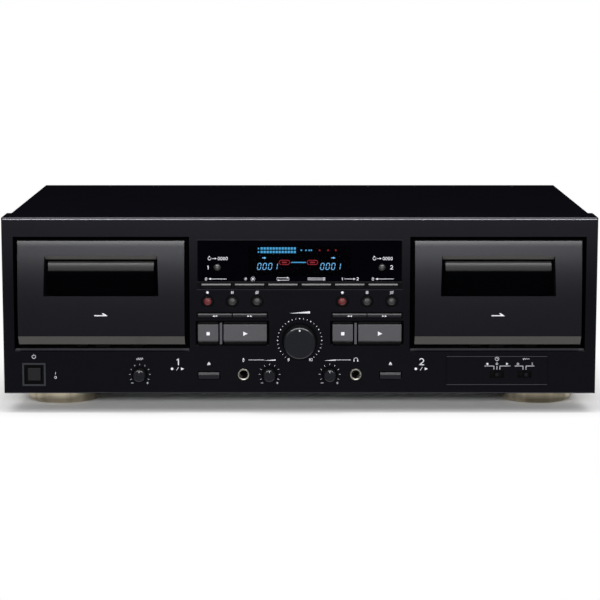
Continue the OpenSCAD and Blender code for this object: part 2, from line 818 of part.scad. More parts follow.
module front_board() {
  color([0.16, 0.3, 0.2]) at_face() {
    difference() {
      block([-board_half, board_half], [board_y, board_y + board_t], [board_bottom, board_top]);
      for (x = [-post_x, post_x])
        for (z = [post_low, post_high])
          translate([x, 0, z]) rod_y(screw_hole_r, [board_y - 1, board_y + 3]);
    }
    tacts();
    translate([0, 0, level_z]) difference() {
      block([-9, 9], [plate_t + 2, board_y - seat], [-9, 9]);
      rod_y(3.08, [plate_t + 1, board_y - 2]);
    }
    shelf([-jack_x - 10, jack_x + 10]);
    shelf([-pitch_x - 12, -pitch_x + 12]);
    shelf([-power_x - 9, -power_x + 9]);
    shelf([door_x - 10, door_x + switch_pitch + 10]);
    for (x = [-pitch_x, -small_x, small_x])
      pot(x);
    slide_switch(door_x);
    slide_switch(door_x + switch_pitch);
    translate([-power_x, 0, 0])
      block([-6, 6], [plate_t + 6 + power_travel + 0.3, shelf_y[1]], [shelf_z + seat, lower_z + 6]);
  }
}

// Front jacks: a metal ring in the panel and the socket body behind it
module front_jack(x) {
  ring = [[jack_r, -1.2], [jack_r + 0.5, -1.7], [jack_ring_r - 0.4, -1.7], [jack_ring_r, -1.2], [jack_ring_r, 0],
          [jack_ring_r - 0.6, 0], [jack_ring_r - 0.6, plate_t], [jack_r, plate_t]];
  translate([x, 0, 0]) {
    translate([0, 0, lower_z]) turned_y(ring);
    difference() {
      block([-7, 7], [plate_t + seat, plate_t + 25], [shelf_z, lower_z + 8]);
      translate([0, 0, lower_z]) rod_y(jack_r, [plate_t - 1, plate_t + 22]);
    }
  }
}

module front_jacks() {
  color([0.75, 0.72, 0.66]) at_face() {
    front_jack(-jack_x);
    front_jack(jack_x);
  }
}

// Transport frames: a plate behind each door with its bearings, the walls of the well in front of it,
// the hinge ears, the studs that guide the carriage, the motor bridge on its stand-offs and the motor
module frame_plate() {
  difference() {
    union() {
      block([-tray_half, tray_half], [frame_face, frame_back], [tray_bottom, tray_top]);
      for (s = [-1, 1])
        translate([s * hub_pitch / 2, 0, hub_z]) rod_y(3.5, [frame_face + 0.5, frame_back + 1.6]);
      translate([capstan_x, 0, capstan_z]) rod_y(4.5, [frame_face + 0.5, frame_back + 1.5]);
    }
    for (s = [-1, 1])
      translate([s * hub_pitch / 2, 0, hub_z]) rod_y(spindle_shaft_r + pin_play, [frame_face - 1, frame_back + 3]);
    translate([capstan_x, 0, capstan_z]) rod_y(capstan_r + pin_play, [frame_face - 1, frame_back + 3]);
  }
}

module well_walls() {
  depth = [plate_t, frame_face - seat];
  block([-tray_half, tray_half], depth, [tray_bottom, tray_bottom + tray_wall]);
  for (s = [-1, 1])
    mirror([s < 0 ? 1 : 0, 0, 0])
      block([tray_half - tray_wall, tray_half], depth, [tray_bottom + tray_wall + seat, tray_top - tray_wall - seat]);
  difference() {
    union() {
      block([-tray_half, tray_half], depth, [tray_top - tray_wall, tray_top]);
      for (s = [-1, 1])
        translate([s * lug_x, 0, 0]) {
          translate([0, 0, lug_z]) rod_y(lug_r, [plate_t + 6, plate_t + 7.6]);
          block([-lug_r, lug_r], [plate_t + 6, plate_t + 7.6], [tray_top - 1, lug_z]);
        }
    }
    for (s = [-1, 1])
      translate([s * lug_x, 0, lug_z]) rod_y(screw_hole_r, [plate_t + 5, plate_t + 9]);
  }
}

module hinge_ear() {
  x = holder_half + holder_wall + ear_gap;
  difference() {
    union() {
      translate([0, hinge_y, hinge_z]) rod_x(ear_r, [x, x + ear_w]);
      block([x, x + ear_w], [hinge_y, frame_face - seat], [hinge_z - ear_r, hinge_z + ear_r]);
    }
    translate([0, hinge_y, hinge_z]) rod_x(pin_r + pin_play, [x - 1, x + ear_w + 1]);
  }
}

module frame_tray() {
  frame_plate();
  well_walls();
  for (s = [-1, 1])
    mirror([s < 0 ? 1 : 0, 0, 0]) {
      hinge_ear();
      translate([stud_x, 0, stud_z]) {
        rod_y(stud_r, [slot_back - 0.5, frame_face - seat]);
        rod_y(2.6, [slot_back - 1.1, slot_back - 0.2]);
      }
    }
  for (x = [bridge_x[0] + 3.5, bridge_x[1] - 3.5])
    for (z = [bridge_z[0] + 3.5, bridge_z[1] - 3.5])
      translate([x, 0, z]) rod_y(2.5, [frame_back + seat, bridge_y - seat]);
}

module motor() {
  front = bridge_y + bridge_t + seat;
  end = front + motor_l;
  can = [[0, front], [motor_r - 1, front], [motor_r, front + 1], [motor_r, end - 1], [motor_r - 1, end], [0, end]];
  pulley = [[0, belt_y - 1.4], [pulley_r + 0.8, belt_y - 1.4], [pulley_r + 0.8, belt_y - 0.4], [pulley_r, belt_y - 0.4],
            [pulley_r, belt_y + belt_w + 0.4], [pulley_r + 0.8, belt_y + belt_w + 0.4],
            [pulley_r + 0.8, belt_y + belt_w + 1.4], [1, belt_y + belt_w + 1.4], [1, front + 0.5], [0, front + 0.5]];
  translate([motor_x, 0, motor_z]) union() {
    turned_y(can);
    turned_y(pulley);
  }
}

module transport_frames() {
  color([0.3, 0.31, 0.33])
    for (d = decks)
      at_deck(d) {
        frame_tray();
        difference() {
          block(bridge_x, [bridge_y, bridge_y + bridge_t], bridge_z);
          translate([motor_x, 0, motor_z]) rod_y(3, [bridge_y - 1, bridge_y + bridge_t + 1]);
        }
        motor();
      }
}

module belt_loop(grow) {
  hull() {
    translate([capstan_x, -capstan_z]) circle(r = flywheel_r + grow, $fn = 72);
    translate([motor_x, -motor_z]) circle(r = pulley_r + grow, $fn = 36);
  }
}

module drive_belts() {
  color([0.08, 0.08, 0.08])
    for (d = decks)
      at_deck(d) translate([0, belt_y, 0]) rotate([-90, 0, 0]) linear_extrude(belt_w) difference() {
        belt_loop(belt_gap + belt_t);
        belt_loop(belt_gap);
      }
}

module spindle() {
  outline = [[0, 5], [1, 5], [2.2, 7.4], [spindle_r - 0.5, 7.4], [spindle_r, 8.4], [spindle_r, slot_back + 0.2],
             [spindle_disc_r, slot_back + 0.2], [spindle_disc_r, frame_face - 0.3], [spindle_shaft_r, frame_face - 0.3],
             [spindle_shaft_r, frame_back + 1.8], [0, frame_back + 1.8]];
  union() {
    turned_y(outline);
    for (a = [0:120:240])
      rotate([0, a, 0]) block([-0.6, 0.6], [8, slot_back + 0.4], [0, 4.3]);
  }
}

module supply_spindle(d) {
  color([0.85, 0.85, 0.83]) at_deck(d) translate([-hub_pitch / 2, 0, hub_z]) spindle();
}

module takeup_spindle(d) {
  color([0.85, 0.85, 0.83]) at_deck(d) translate([hub_pitch / 2, 0, hub_z]) spindle();
}

// Flywheel: a heavy rim turned in one with its hub, pressed on the capstan shaft
module flywheel(d) {
  y = flywheel_y;
  end = flywheel_y + flywheel_t;
  bore = capstan_r + seat;
  wheel = [[bore, y], [4, y], [4, y + 2], [flywheel_r - 4, y + 2], [flywheel_r - 4, y], [flywheel_r, y],
           [flywheel_r, end], [flywheel_r - 4, end], [flywheel_r - 4, end - 2], [4, end - 2], [4, end], [bore, end]];
  color([0.72, 0.72, 0.7]) at_deck(d) translate([capstan_x, 0, capstan_z]) {
    turned_y(wheel);
    rod_y(capstan_r, [capstan_tip, bridge_y - 0.4]);
  }
}

// Head carriage: a sliding plate with the two heads and the axle of the pinch roller
module head_carriage(d) {
  y = carriage_y;
  head_z = carriage_top - 0.2;
  slot_h = head_travel + 0.3;
  slot_r = stud_r + guide_gap;
  color([0.78, 0.76, 0.7]) at_deck(d) {
    difference() {
      union() {
        block([-carriage_half, carriage_half], y, [carriage_bottom, carriage_top]);
        translate([capstan_x, 0, roller_z]) turned_y([[0, roller_y[0] - 1], [1.8, roller_y[0] - 1],
          [1.8, roller_y[0] - 0.3], [axle_r, roller_y[0] - 0.3], [axle_r, roller_y[1] + 0.3],
          [2.5, roller_y[1] + 0.3], [2.5, y[0] + 0.3], [0, y[0] + 0.3]]);
      }
      for (x = [-stud_x, stud_x]) {
        for (z = [stud_z, stud_z - slot_h])
          translate([x, 0, z]) rod_y(slot_r, [y[0] - 1, y[1] + 1]);
        block([x - slot_r, x + slot_r], [y[0] - 1, y[1] + 1], [stud_z - slot_h, stud_z]);
      }
    }
    translate([0, 0, head_z - 5.5]) {
      rod_y(5.5, [4.5, y[0]]);
      block([-5.5, 5.5], [4.5, y[0]], [-3.5, 0]);
    }
    block([-19, -12], [5, y[0]], [head_z - 8, head_z - 1]);
  }
}

module pinch_roller(d) {
  outline = [[axle_r + pin_play, roller_y[0]], [pinch_r - 0.4, roller_y[0]], [pinch_r, roller_y[0] + 0.4],
             [pinch_r, roller_y[1] - 0.4], [pinch_r - 0.4, roller_y[1]], [axle_r + pin_play, roller_y[1]]];
  color([0.06, 0.06, 0.06]) at_deck(d) translate([capstan_x, 0, roller_z]) turned_y(outline);
}

// Chassis pan: floor, upturned edges, tongues over the front panel and posts for the main board
module chassis_pan() {
  side_x = [pan_half - pan_t, pan_half];
  side_z = [foot_h, foot_h + pan_side_h];
  color([0.62, 0.63, 0.64]) at_face() difference() {
    union() {
      block([-pan_half, pan_half], [pan_front, rear_y], [foot_h, floor_z]);
      block([-pan_half, pan_half], [pan_front, pan_front + pan_t], [foot_h, foot_h + rim_t + pan_t]);
      block([-pan_half, pan_half], [rear_y - pan_t, rear_y], side_z);
      for (s = [-1, 1])
        mirror([s < 0 ? 1 : 0, 0, 0]) block(side_x, [pan_front, rear_y], side_z);
      for (s = [-1, 1])
        translate([s * tongue_x, 0, 0])
          block([-11, 11], [fascia_d - 12, pan_front + pan_t], [foot_h + rim_t, foot_h + rim_t + pan_t]);
      for (x = board_posts_x)
        for (y = board_posts_y)
          translate([x, y, floor_z - 0.5]) cylinder(r = 3.5, h = 6.5);
    }
    for (x = board_posts_x)
      for (y = board_posts_y)
        translate([x, y, floor_z + 1]) cylinder(r = screw_hole_r, h = 8);
    for (s = [-1, 1])
      for (y = side_screws_y)
        translate([s * pan_half, y, screw_z]) rod_x(screw_hole_r, [-3, 3]);
    for (x = rear_screws_low)
      translate([x, 0, screw_z]) rod_y(screw_hole_r, [rear_y - 3, rear_y + 1]);
    for (x = [-110:20:-30])
      for (y = [110, 150])
        block([x, x + 4], [y, y + 30], [foot_h - 1, floor_z + 1]);
  }
}

// Top cover: one folded sheet over the top and both sides, with a lip behind the rear panel
module top_cover() {
  side_z = [foot_h + 0.5, cover_top];
  y = [fascia_d + 0.3, body_d];
  color([0.05, 0.05, 0.07]) at_face() difference() {
    union() {
      block([-cover_half, cover_half], y, [cover_top - sheet_t, cover_top]);
      for (s = [-1, 1])
        mirror([s < 0 ? 1 : 0, 0, 0]) block([pan_half, cover_half], y, side_z);
      block([-pan_half + 6, pan_half - 6], [rear_y - sheet_t, rear_y], [cover_top - 12, cover_top]);
    }
    for (s = [-1, 1])
      for (y = side_screws_y)
        translate([s * cover_half, y, screw_z]) rod_x(screw_hole_r, [-3, 3]);
    for (x = rear_screws_high)
      translate([x, 0, cover_top - 6.5]) rod_y(screw_hole_r, [rear_y - 3, rear_y + 1]);
  }
}

// Rear panel with the cut-outs for the sockets
tongue_x = (pitch_x - 12 + jack_x + 10) / 2;
socket_x = [for (g = [-1, 1]) for (i = [-0.5, 0.5]) 95 + g * 26 + i * socket_pitch];
socket_z = [lower_z + 27, lower_z + 27 + socket_pitch];
inlet_x = -165;
inlet_z = lower_z + 18;
screw_z = foot_h + 8;
side_screws_y = [90, body_d - 40];
rear_screws_low = [-180, -60, 60, 180];
rear_screws_high = [-150, 0, 150];
board_posts_x = [-12, 185];
board_posts_y = [95, body_d - 25];

module rear_panel() {
  x = pan_half - 0.2;
  color([0.08, 0.08, 0.09]) at_face() difference() {
    block([-x, x], [rear_y, body_d], [foot_h + 0.3, cover_top - sheet_t - 0.2]);
    for (x = socket_x)
      for (z = socket_z)
        translate([x, 0, z]) rod_y(socket_r + 1.2, [rear_y - 1, body_d + 1]);
    block([inlet_x - 11.2, inlet_x + 11.2], [rear_y - 1, body_d + 1], [inlet_z - 6.2, inlet_z + 6.2]);
    for (x = rear_screws_low)
      translate([x, 0, screw_z]) rod_y(screw_hole_r, [rear_y - 1, body_d + 1]);
    for (x = rear_screws_high)
      translate([x, 0, cover_top - 6.5]) rod_y(screw_hole_r, [rear_y - 1, body_d + 1]);
  }
}

// Signal sockets in a moulded block, and the mains inlet
module signal_socket() {
  end = body_d + socket_proud;
  outline = [[1.65, rear_y - 4], [socket_r + 0.9, rear_y - 4], [socket_r + 0.9, body_d + 0.6], [socket_r, body_d + 0.6],
             [socket_r, end - 0.4], [socket_r - 0.4, end], [socket_r - 0.7, end], [socket_r - 0.7, end - 0.6],
             [1.65, end - 0.6]];
  turned_y(outline);
}

module rear_sockets() {
  color([0.7, 0.7, 0.68]) at_face() {
    for (x = socket_x)
      for (z = socket_z)
        translate([x, 0, z]) signal_socket();
    for (g = [-1, 1])
      difference() {
        block([95 + g * 26 - socket_pitch / 2 - 9, 95 + g * 26 + socket_pitch / 2 + 9], [rear_y - 14, rear_y],
              [socket_z[0] - 9, socket_z[1] + 9]);
        for (x = socket_x)
          for (z = socket_z)
            translate([x, 0, z]) rod_y(socket_r + 0.95, [rear_y - 4 - seat, rear_y + 1]);
      }
    difference() {
      union() {
        block([inlet_x - 15, inlet_x + 15], [body_d, body_d + 1.8], [inlet_z - 10, inlet_z + 10]);
        block([inlet_x - 11, inlet_x + 11], [rear_y - 18, body_d + 0.5], [inlet_z - 6, inlet_z + 6]);
      }
      block([inlet_x - 5.2, inlet_x + 5.2], [rear_y - 12, body_d + 3], [inlet_z - 4.2, inlet_z + 4.2]);
      for (s = [-1, 1])
        translate([inlet_x + s * 5.2, 0, inlet_z]) rod_y(4.2, [rear_y - 12, body_d + 3]);
    }
    for (s = [-1, 1])
      translate([inlet_x + s * 4.3, 0, inlet_z]) rod_y(1.2, [rear_y - 12, body_d - 1]);
  }
}

// Main board on its posts with the larger components
module main_board() {
  x = [board_posts_x[0] - 8, board_posts_x[1] + 8];
  y = [board_posts_y[0] - 8, board_posts_y[1] + 8];
  z = floor_z + 6;
  top = z + board_t;
  color([0.2, 0.34, 0.22]) at_face() {
    difference() {
      block(x, y, [z, top]);
      for (px = board_posts_x)
        for (py = board_posts_y)
          translate([px, py, z - 1]) cylinder(r = screw_hole_r, h = 4);
    }
    for (i = [0:2])
      translate([x[0] + 22, y[0] + 24 + i * 26, top + seat]) cylinder(r = 9, h = 30);
    for (i = [0:5])
      translate([x[0] + 58 + i * 20, y[0] + 100, top + seat]) cylinder(r = 4, h = 13);
    for (i = [0:3])
      block([x[0] + 60 + i * 32, x[0] + 80 + i * 32], [y[0] + 40, y[0] + 48], [top + seat, top + 4]);
    block([x[0] + 46, x[0] + 126], [y[0] + 70, y[0] + 73], [top + seat, top + 32]);
    block([x[0] + 150, x[0] + 186], [y[0] + 62, y[0] + 82], [top + seat, top + 5]);
  }
}

// Mains transformer: laminated core, winding and the strap that stands on the floor
module power_transformer() {
  x = -pan_half + 64;
  y = body_d - 92;
  z = floor_z;
  color([0.35, 0.33, 0.3]) at_face() translate([x, y, z]) {
    difference() {
      union() {
        block([-34, 34], [-15, 15], [1.5, 57]);
        block([-44, 44], [-12, 12], [0, 1.5]);
      }
      for (s = [-1, 1])
        translate([s * 39, 0, -1]) cylinder(r = 2, h = 4);
      for (s = [-1, 1])
        translate([s * 16.5, 0, 0]) block([-6.5, 6.5], [-16, 16], [12, 46]);
    }
    difference() {
      block([-22.5, 22.5], [-27, 27], [12.3, 45.7]);
      block([-10.2, 10.2], [-15.2, 15.2], [11, 47]);
    }
  }
}

// Feet: a turned ring with a pad under it
module foot() {
  outline = [[0, 3], [foot_r - 6, 3], [foot_r - 6, 0.5], [foot_r - 1.2, 0.5], [foot_r, 1.7], [foot_r, foot_h],
             [0, foot_h]];
  rotate_extrude() polygon(outline);
  cylinder(r = foot_r - 6.4, h = 3 - seat);
}

module feet() {
  color([0.62, 0.58, 0.5]) at_face()
    for (s = [-1, 1])
      for (y = [foot_front, foot_rear])
        translate([s * foot_x, y, 0]) foot();
}

// Screws of the cover, the rear panel, the transport frames and the front board
module screw_y(y, length) {
  translate([0, y, 0]) turned_y([[0, 0], [screw_r, 0], [screw_r, length], [head_r, length],
    [head_r, length + 0.9], [head_r - 0.9, length + head_t], [0, length + head_t]]);
}

module screws() {
  color([0.5, 0.5, 0.52]) at_face() {
    for (s = [-1, 1])
      for (y = side_screws_y)
        translate([s * cover_half, y, screw_z]) rotate([0, 0, -90 * s]) screw_y(-5, 5);
    for (x = rear_screws_low)
      translate([x, 0, screw_z]) screw_y(body_d - 5, 5);
    for (x = rear_screws_high)
      translate([x, 0, cover_top - 6.5]) screw_y(body_d - 5, 5);
    for (x = [-post_x, post_x])
      for (z = [post_low, post_high])
        translate([x, 0, z]) screw_y(board_y + board_t - 6, 6);
    for (d = decks)
      for (s = [-1, 1])
        translate([(d == 1 ? -door_x : door_x) + s * lug_x, 0, lug_z]) screw_y(plate_t + 1.6, 6);
    for (x = board_posts_x)
      for (y = board_posts_y)
        translate([x, y, floor_z + 6 + board_t]) rotate([90, 0, 0]) screw_y(-5, 5);
  }
}

chassis_pan();
top_cover();
rear_panel();
front_panel();
feet();
display_window();
display_tube();
front_board();
main_board();
power_transformer();
transport_frames();
drive_belts();
rear_sockets();
front_jacks();
screws();

power_button();
strip_key(1);  // zero_button_1
strip_key(2);  // dimmer_button
strip_key(3);  // repeat_button
strip_key(4);  // parallel_button
strip_key(5);  // dubbing_button
strip_key(6);  // zero_button_2
level_knob();
small_knob(-pitch_x);  // pitch_knob
small_knob(-small_x);  // mic_knob
small_knob(small_x);  // phones_knob
slider(door_x);  // timer_slider
slider(door_x + switch_pitch + slide_step / 2);  // noise_slider

for (d = decks) {
  round_button(d, -1, [0.5, 0.2, 0.2]);
  round_button(d, 0, [0.3, 0.3, 0.32]);
  round_button(d, 1, [0.3, 0.3, 0.32]);
  wind_button(d, -1);
  wind_button(d, 1);
  stop_button(d);
  play_button(d);
  eject_button(d);
  reset_button(d);
  cassette_door(d);
  door_window(d);
  supply_spindle(d);
  takeup_spindle(d);
  flywheel(d);
  head_carriage(d);
  pinch_roller(d);
}
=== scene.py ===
"""Double cassette deck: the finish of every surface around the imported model."""

import math
from contextlib import contextmanager

import bmesh
import bpy
import numpy as np
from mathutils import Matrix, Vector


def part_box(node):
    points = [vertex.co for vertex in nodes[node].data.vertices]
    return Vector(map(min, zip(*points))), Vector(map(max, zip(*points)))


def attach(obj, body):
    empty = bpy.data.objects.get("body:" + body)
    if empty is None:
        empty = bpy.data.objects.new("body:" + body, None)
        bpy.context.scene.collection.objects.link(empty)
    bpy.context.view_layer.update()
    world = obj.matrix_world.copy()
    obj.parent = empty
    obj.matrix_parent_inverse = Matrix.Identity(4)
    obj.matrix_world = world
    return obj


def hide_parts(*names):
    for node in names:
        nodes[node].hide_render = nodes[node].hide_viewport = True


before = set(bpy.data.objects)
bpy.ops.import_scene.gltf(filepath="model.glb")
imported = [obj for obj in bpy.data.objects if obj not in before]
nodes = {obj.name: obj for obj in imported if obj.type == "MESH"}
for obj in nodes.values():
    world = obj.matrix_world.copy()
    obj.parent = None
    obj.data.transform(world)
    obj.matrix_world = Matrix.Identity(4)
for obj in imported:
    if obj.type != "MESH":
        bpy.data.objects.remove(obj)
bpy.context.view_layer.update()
mm = 0.001
sides = (1, 2)


# Feet
# Four turned aluminium feet, anodised in a champagne tone and polished, with a rubber pad pressed into
# the underside of each. A screw from inside the chassis holds them. Upright streaks in their tone are
# partly anodised tone and partly painted reflection.
class Shade:
    """A socket of a node tree that takes part in Python sums; every operator adds one Math node."""

    def __init__(self, finish, socket):
        self.finish = finish
        self.socket = socket

    def sum_with(self, operation, first, second):
        return self.finish.node("Math", {"operation": operation}, {0: first, 1: second})

    def __add__(self, other):
        return self.sum_with("ADD", self, other)

    def __sub__(self, other):
        return self.sum_with("SUBTRACT", self, other)

    def __rsub__(self, other):
        return self.sum_with("SUBTRACT", other, self)

    def __mul__(self, other):
        return self.sum_with("MULTIPLY", self, other)

    __radd__ = __add__
    __rmul__ = __mul__


class Finish:
    """A material around one Principled shader. node() adds any other node: its kind, its settings, then
    the values or links of its sockets."""

    def __init__(self, name):
        self.material = bpy.data.materials.new(name)
        self.material.use_nodes = True
        self.tree = self.material.node_tree
        self.shader = self.tree.nodes["Principled BSDF"]

    def fill(self, node, sockets):
        for key, value in sockets.items():
            if isinstance(value, Shade):
                self.tree.links.new(value.socket, node.inputs[key])
            else:
                node.inputs[key].default_value = value

    def node(self, kind, settings, sockets, output=0):
        node = self.tree.nodes.new("ShaderNode" + kind)
        for key, value in settings.items():
            setattr(node, key, value)
        self.fill(node, sockets)
        return Shade(self, node.outputs[output])

    def place(self):
        """A point of the piece in its own axes, in metres."""
        return self.node("TexCoord", {}, {}, "Object")

    def along(self, axis):
        """One coordinate of that point, by the letter of its axis."""
        return self.node("SeparateXYZ", {}, {0: self.place()}, axis)

    def facing(self, axis):
        """How far the surface looks along an axis, from -1 to 1."""
        return self.node("SeparateXYZ", {}, {0: self.node("TexCoord", {}, {}, "Normal")}, axis)

    def relief(self, height, strength, distance):
        """The normal of a surface that a pattern raises by a distance in metres."""
        return self.node("Bump", {}, {"Height": height, "Strength": strength, "Distance": distance})

    def grain(self, size, stretch=(1.0, 1.0, 1.0), detail=2.0):
        """Noise of that grain size in metres, stretched along the axes of the object."""
        stretched = self.node("Mapping", {}, {"Vector": self.place(), "Scale": stretch})
        return self.node("TexNoise", {}, {"Vector": stretched, "Scale": 1 / size, "Detail": detail})

    def rise(self, value, low, high):
        """A smooth step from 0 at the low value to 1 at the high one."""
        limits = {"Value": value, "From Min": low, "From Max": high}
        return self.node("MapRange", {"interpolation_type": "SMOOTHSTEP"}, limits)

    def tint(self, factor, low, high):
        """The colour between two tones, taken by a factor. A tone may itself vary over the surface."""
        low, high = [end if isinstance(end, Shade) else (*end, 1.0) for end in (low, high)]
        return self.node("Mix", {"data_type": "RGBA"}, {0: factor, 6: low, 7: high}, 2)


def tone(red, green, blue):
    """The linear colour of a tone written as it shows on a screen, from 0 to 255."""
    shown = np.array((red, green, blue)) / 255
    linear = np.where(shown > 0.04045, ((shown + 0.055) / 1.055) ** 2.4, shown / 12.92)
    return tuple(float(channel) for channel in linear)


def spread(colour, share):
    """A darker and a lighter tone around a colour."""
    return [tuple(channel * (1 + sign * share) for channel in colour) for sign in (-1, 1)]


def turned_metal(name, colour, roughness, line=0.15 * mm, relief=0.004 * mm, across=(0.02, 0.02, 1.0)):
    """Turned or drawn metal: fine lines run along two axes, and gloss and tone drift with them."""
    finish = Finish(name)
    lines = finish.grain(line, across, 1.0)
    broad = finish.grain(18 * mm)
    finish.fill(finish.shader, {
        "Base Color": finish.tint(broad, *spread(colour, 0.07)),
        "Metallic": 1.0,
        "Roughness": roughness + (lines - 0.5) * 0.12,
        "Normal": finish.relief(lines, 0.25, relief),
    })
    return finish.material


def moulded(name, colour, roughness, gloss, grain=0.25 * mm, relief=0.01 * mm, drift=0.1):
    """Moulded plastic, paint or rubber: a fine grain raises it, and tone and gloss drift a little."""
    finish = Finish(name)
    fine = finish.grain(grain)
    broad = finish.grain(26 * mm, detail=3.0)
    finish.fill(finish.shader, {
        "Base Color": finish.tint(broad, *spread(colour, drift)),
        "Roughness": roughness + (fine - 0.5) * 0.12 + (broad - 0.5) * 0.08,
        "Specular IOR Level": gloss,
        "Normal": finish.relief(fine, 0.35, relief),
    })
    return finish.material


def eased(outline, radius, steps=5):
    """An outline with each corner replaced by a curve: the points of a quadratic arc that leaves the
    incoming edge and joins the outgoing one at most a radius away from the corner."""
    corners = np.array(outline, float)
    before = np.roll(corners, 1, 0)
    after = np.roll(corners, -1, 0)
    reach = [np.minimum(radius, 0.45 * np.linalg.norm(ends - corners, axis=1)) for ends in (before, after)]
    start, end = [
        corners + (ends - corners) * (length / np.linalg.norm(ends - corners, axis=1))[:, None]
        for ends, length in zip((before, after), reach)
    ]
    t = np.linspace(0, 1, steps)[None, :, None]
    curve = (1 - t) ** 2 * start[:, None] + 2 * t * (1 - t) * corners[:, None] + t ** 2 * end[:, None]
    return curve.reshape(-1, 2)


def turned(profile, centre, steps=96):
    """A turned surface: a profile point of radius r and height h goes to the centre moved up by h and
    across by r * cos(a) and r * sin(a), with the angle a running once round."""
    radius, height = np.array(profile, float).T[:, :, None] * mm
    angle = np.linspace(0, 2 * math.pi, steps, endpoint=False)[None, :]
    ring = (radius * np.cos(angle), radius * np.sin(angle), height + 0 * angle)
    return np.stack(ring, axis=-1) + np.array(centre)


def mesh_of(name, grids, crease=38):
    """One closed mesh from grids of points [rows, columns, 3]. Rows and columns both close on themselves,
    and points that meet are joined, so poles and seams are shut."""
    points = np.concatenate([grid.reshape(-1, 3) for grid in grids])
    quads = []
    first = 0
    for grid in grids:
        index = first + np.arange(grid.shape[0] * grid.shape[1]).reshape(grid.shape[:2])
        above = np.roll(index, -1, 0)
        ring = [index, np.roll(index, -1, 1), np.roll(above, -1, 1), above]
        quads.append(np.stack(ring, -1).reshape(-1, 4))
        first += index.size
    mesh = bpy.data.meshes.new(name)
    mesh.from_pydata(points.tolist(), [], np.concatenate(quads).tolist())
    return tidied(mesh, crease)


@contextmanager
def opened(mesh):
    """Opens a mesh for work on its points and faces, and writes the result back."""
    work = bmesh.new()
    work.from_mesh(mesh)
    yield work
    work.to_mesh(mesh)
    work.free()


def tidied(mesh, crease=38, join=1e-6):
    """Joins points that meet, drops faces without area, turns faces outwards and creases sharp edges."""
    with opened(mesh) as work:
        bmesh.ops.remove_doubles(work, verts=work.verts, dist=join)
        bmesh.ops.dissolve_degenerate(work, edges=work.edges, dist=join)
        bmesh.ops.recalc_face_normals(work, faces=work.faces)
    mesh.shade_smooth()
    mesh.set_sharp_from_angle(angle=math.radians(crease))
    return mesh


def place(name, mesh, material, body, stands_for=()):
    """Puts a finished mesh into the scene as a piece that moves with a body."""
    piece = bpy.data.objects.new(name, mesh)
    bpy.context.scene.collection.objects.link(piece)
    mesh.materials.clear()
    mesh.materials.append(material)
    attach(piece, body)
    if stands_for:
        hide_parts(*stands_for)
    return piece


def dress(material, *names):
    """Gives pieces that keep their own mesh a finish."""
    for name in names:
        nodes[name].data.materials.clear()
        nodes[name].data.materials.append(material)


foot_r = 28.3
foot_top = 15.0
pad_r = foot_r - 6.4
feet_low, feet_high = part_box("feet")
foot_centres = [
    (sign * (feet_high.x - foot_r * mm), y, 0.0)
    for sign in (-1, 1)
    for y in (feet_low.y + foot_r * mm, feet_high.y - foot_r * mm)
]
foot_outline = [
    (0.01, 3.0), (foot_r - 6, 3.0), (foot_r - 6, 0.6), (foot_r - 1.7, 0.6), (foot_r - 0.5, 1.9),
    (foot_r, 3.2), (foot_r, foot_top - 0.02), (0.01, foot_top - 0.02),
]
pad_outline = [(0.01, 0.0), (pad_r, 0.0), (pad_r, 2.9), (0.01, 2.9)]
foot_metal = Finish("champagne_metal")
foot_lines = foot_metal.grain(0.15 * mm, (0.02, 0.02, 1.0), 1.0)
# Upright streaks of lighter and darker tone: partly anodised tone, partly painted reflections of the metal.
foot_tone_and_painted_reflections = foot_metal.rise(foot_metal.grain(14 * mm, (1.0, 1.0, 0.02)), 0.36, 0.62)
foot_z = foot_metal.along("Z")
foot_lip = foot_metal.rise(foot_z, 0.4 * mm, 0.8 * mm) * foot_metal.rise(foot_z, 2.2 * mm, 1.6 * mm)
foot_metal.fill(foot_metal.shader, {
    "Base Color": foot_metal.tint(foot_tone_and_painted_reflections, tone(134, 126, 108), tone(186, 176, 155)),
    "Metallic": 1.0,
    "Roughness": 0.2 - foot_lip * 0.06 + (foot_lines - 0.5) * 0.12,
    "Normal": foot_metal.relief(foot_lines, 0.25, 0.004 * mm),
})
pad_rubber = moulded("pad_rubber", tone(24, 24, 24), 0.8, 0.2)
feet_mesh = mesh_of("feet", [turned(eased(foot_outline, 0.5), c, 128) for c in foot_centres])
pads_mesh = mesh_of("foot_pads", [turned(eased(pad_outline, 0.6), c) for c in foot_centres])
place("turned_feet", feet_mesh, foot_metal.material, "cabinet", ["feet"])
place("foot_pads", pads_mesh, pad_rubber, "cabinet")


# Chassis
# A pan of galvanised sheet steel with folded edges. The main board stands on posts pressed out of it, the
# mains transformer is screwed down beside it, and black boards behind the panel carry the switches.
zinc = Finish("galvanised_sheet")
spangle = zinc.node("TexVoronoi", {"feature": "F1"}, {"Scale": 1 / (9 * mm)}, "Color")
spangle_tone = zinc.node("SeparateColor", {}, {"Color": spangle}, 0)
zinc.fill(zinc.shader, {
    "Base Color": zinc.tint(spangle_tone, tone(150, 153, 156), tone(182, 185, 186)),
    "Metallic": 1.0,
    "Roughness": 0.34 + spangle_tone * 0.14,
})
dress(zinc.material, "chassis_pan")

board = Finish("circuit_board")
traces = board.node("TexBrick", {"offset": 0.37}, {
    "Vector": board.place(),
    "Scale": 1.0,
    "Brick Width": 14 * mm,
    "Row Height": 2.2 * mm,
    "Mortar Size": 0.5 * mm,
}, "Fac")
board.fill(board.shader, {
    "Base Color": board.tint(traces, tone(32, 74, 44), tone(52, 104, 60)),
    "Roughness": 0.38 + traces * 0.15,
})
dress(board.material, "main_board")

core = Finish("laminated_core")
layers = core.node("TexWave", {"bands_direction": "Y"}, {
    "Vector": core.place(),
    "Scale": 1 / (3 * mm),
    "Distortion": 0.4,
})
core.fill(core.shader, {
    "Base Color": core.tint(layers, tone(58, 54, 50), tone(96, 90, 82)),
    "Metallic": 0.6,
    "Roughness": 0.5 - layers * 0.12,
})
dress(core.material, "power_transformer")

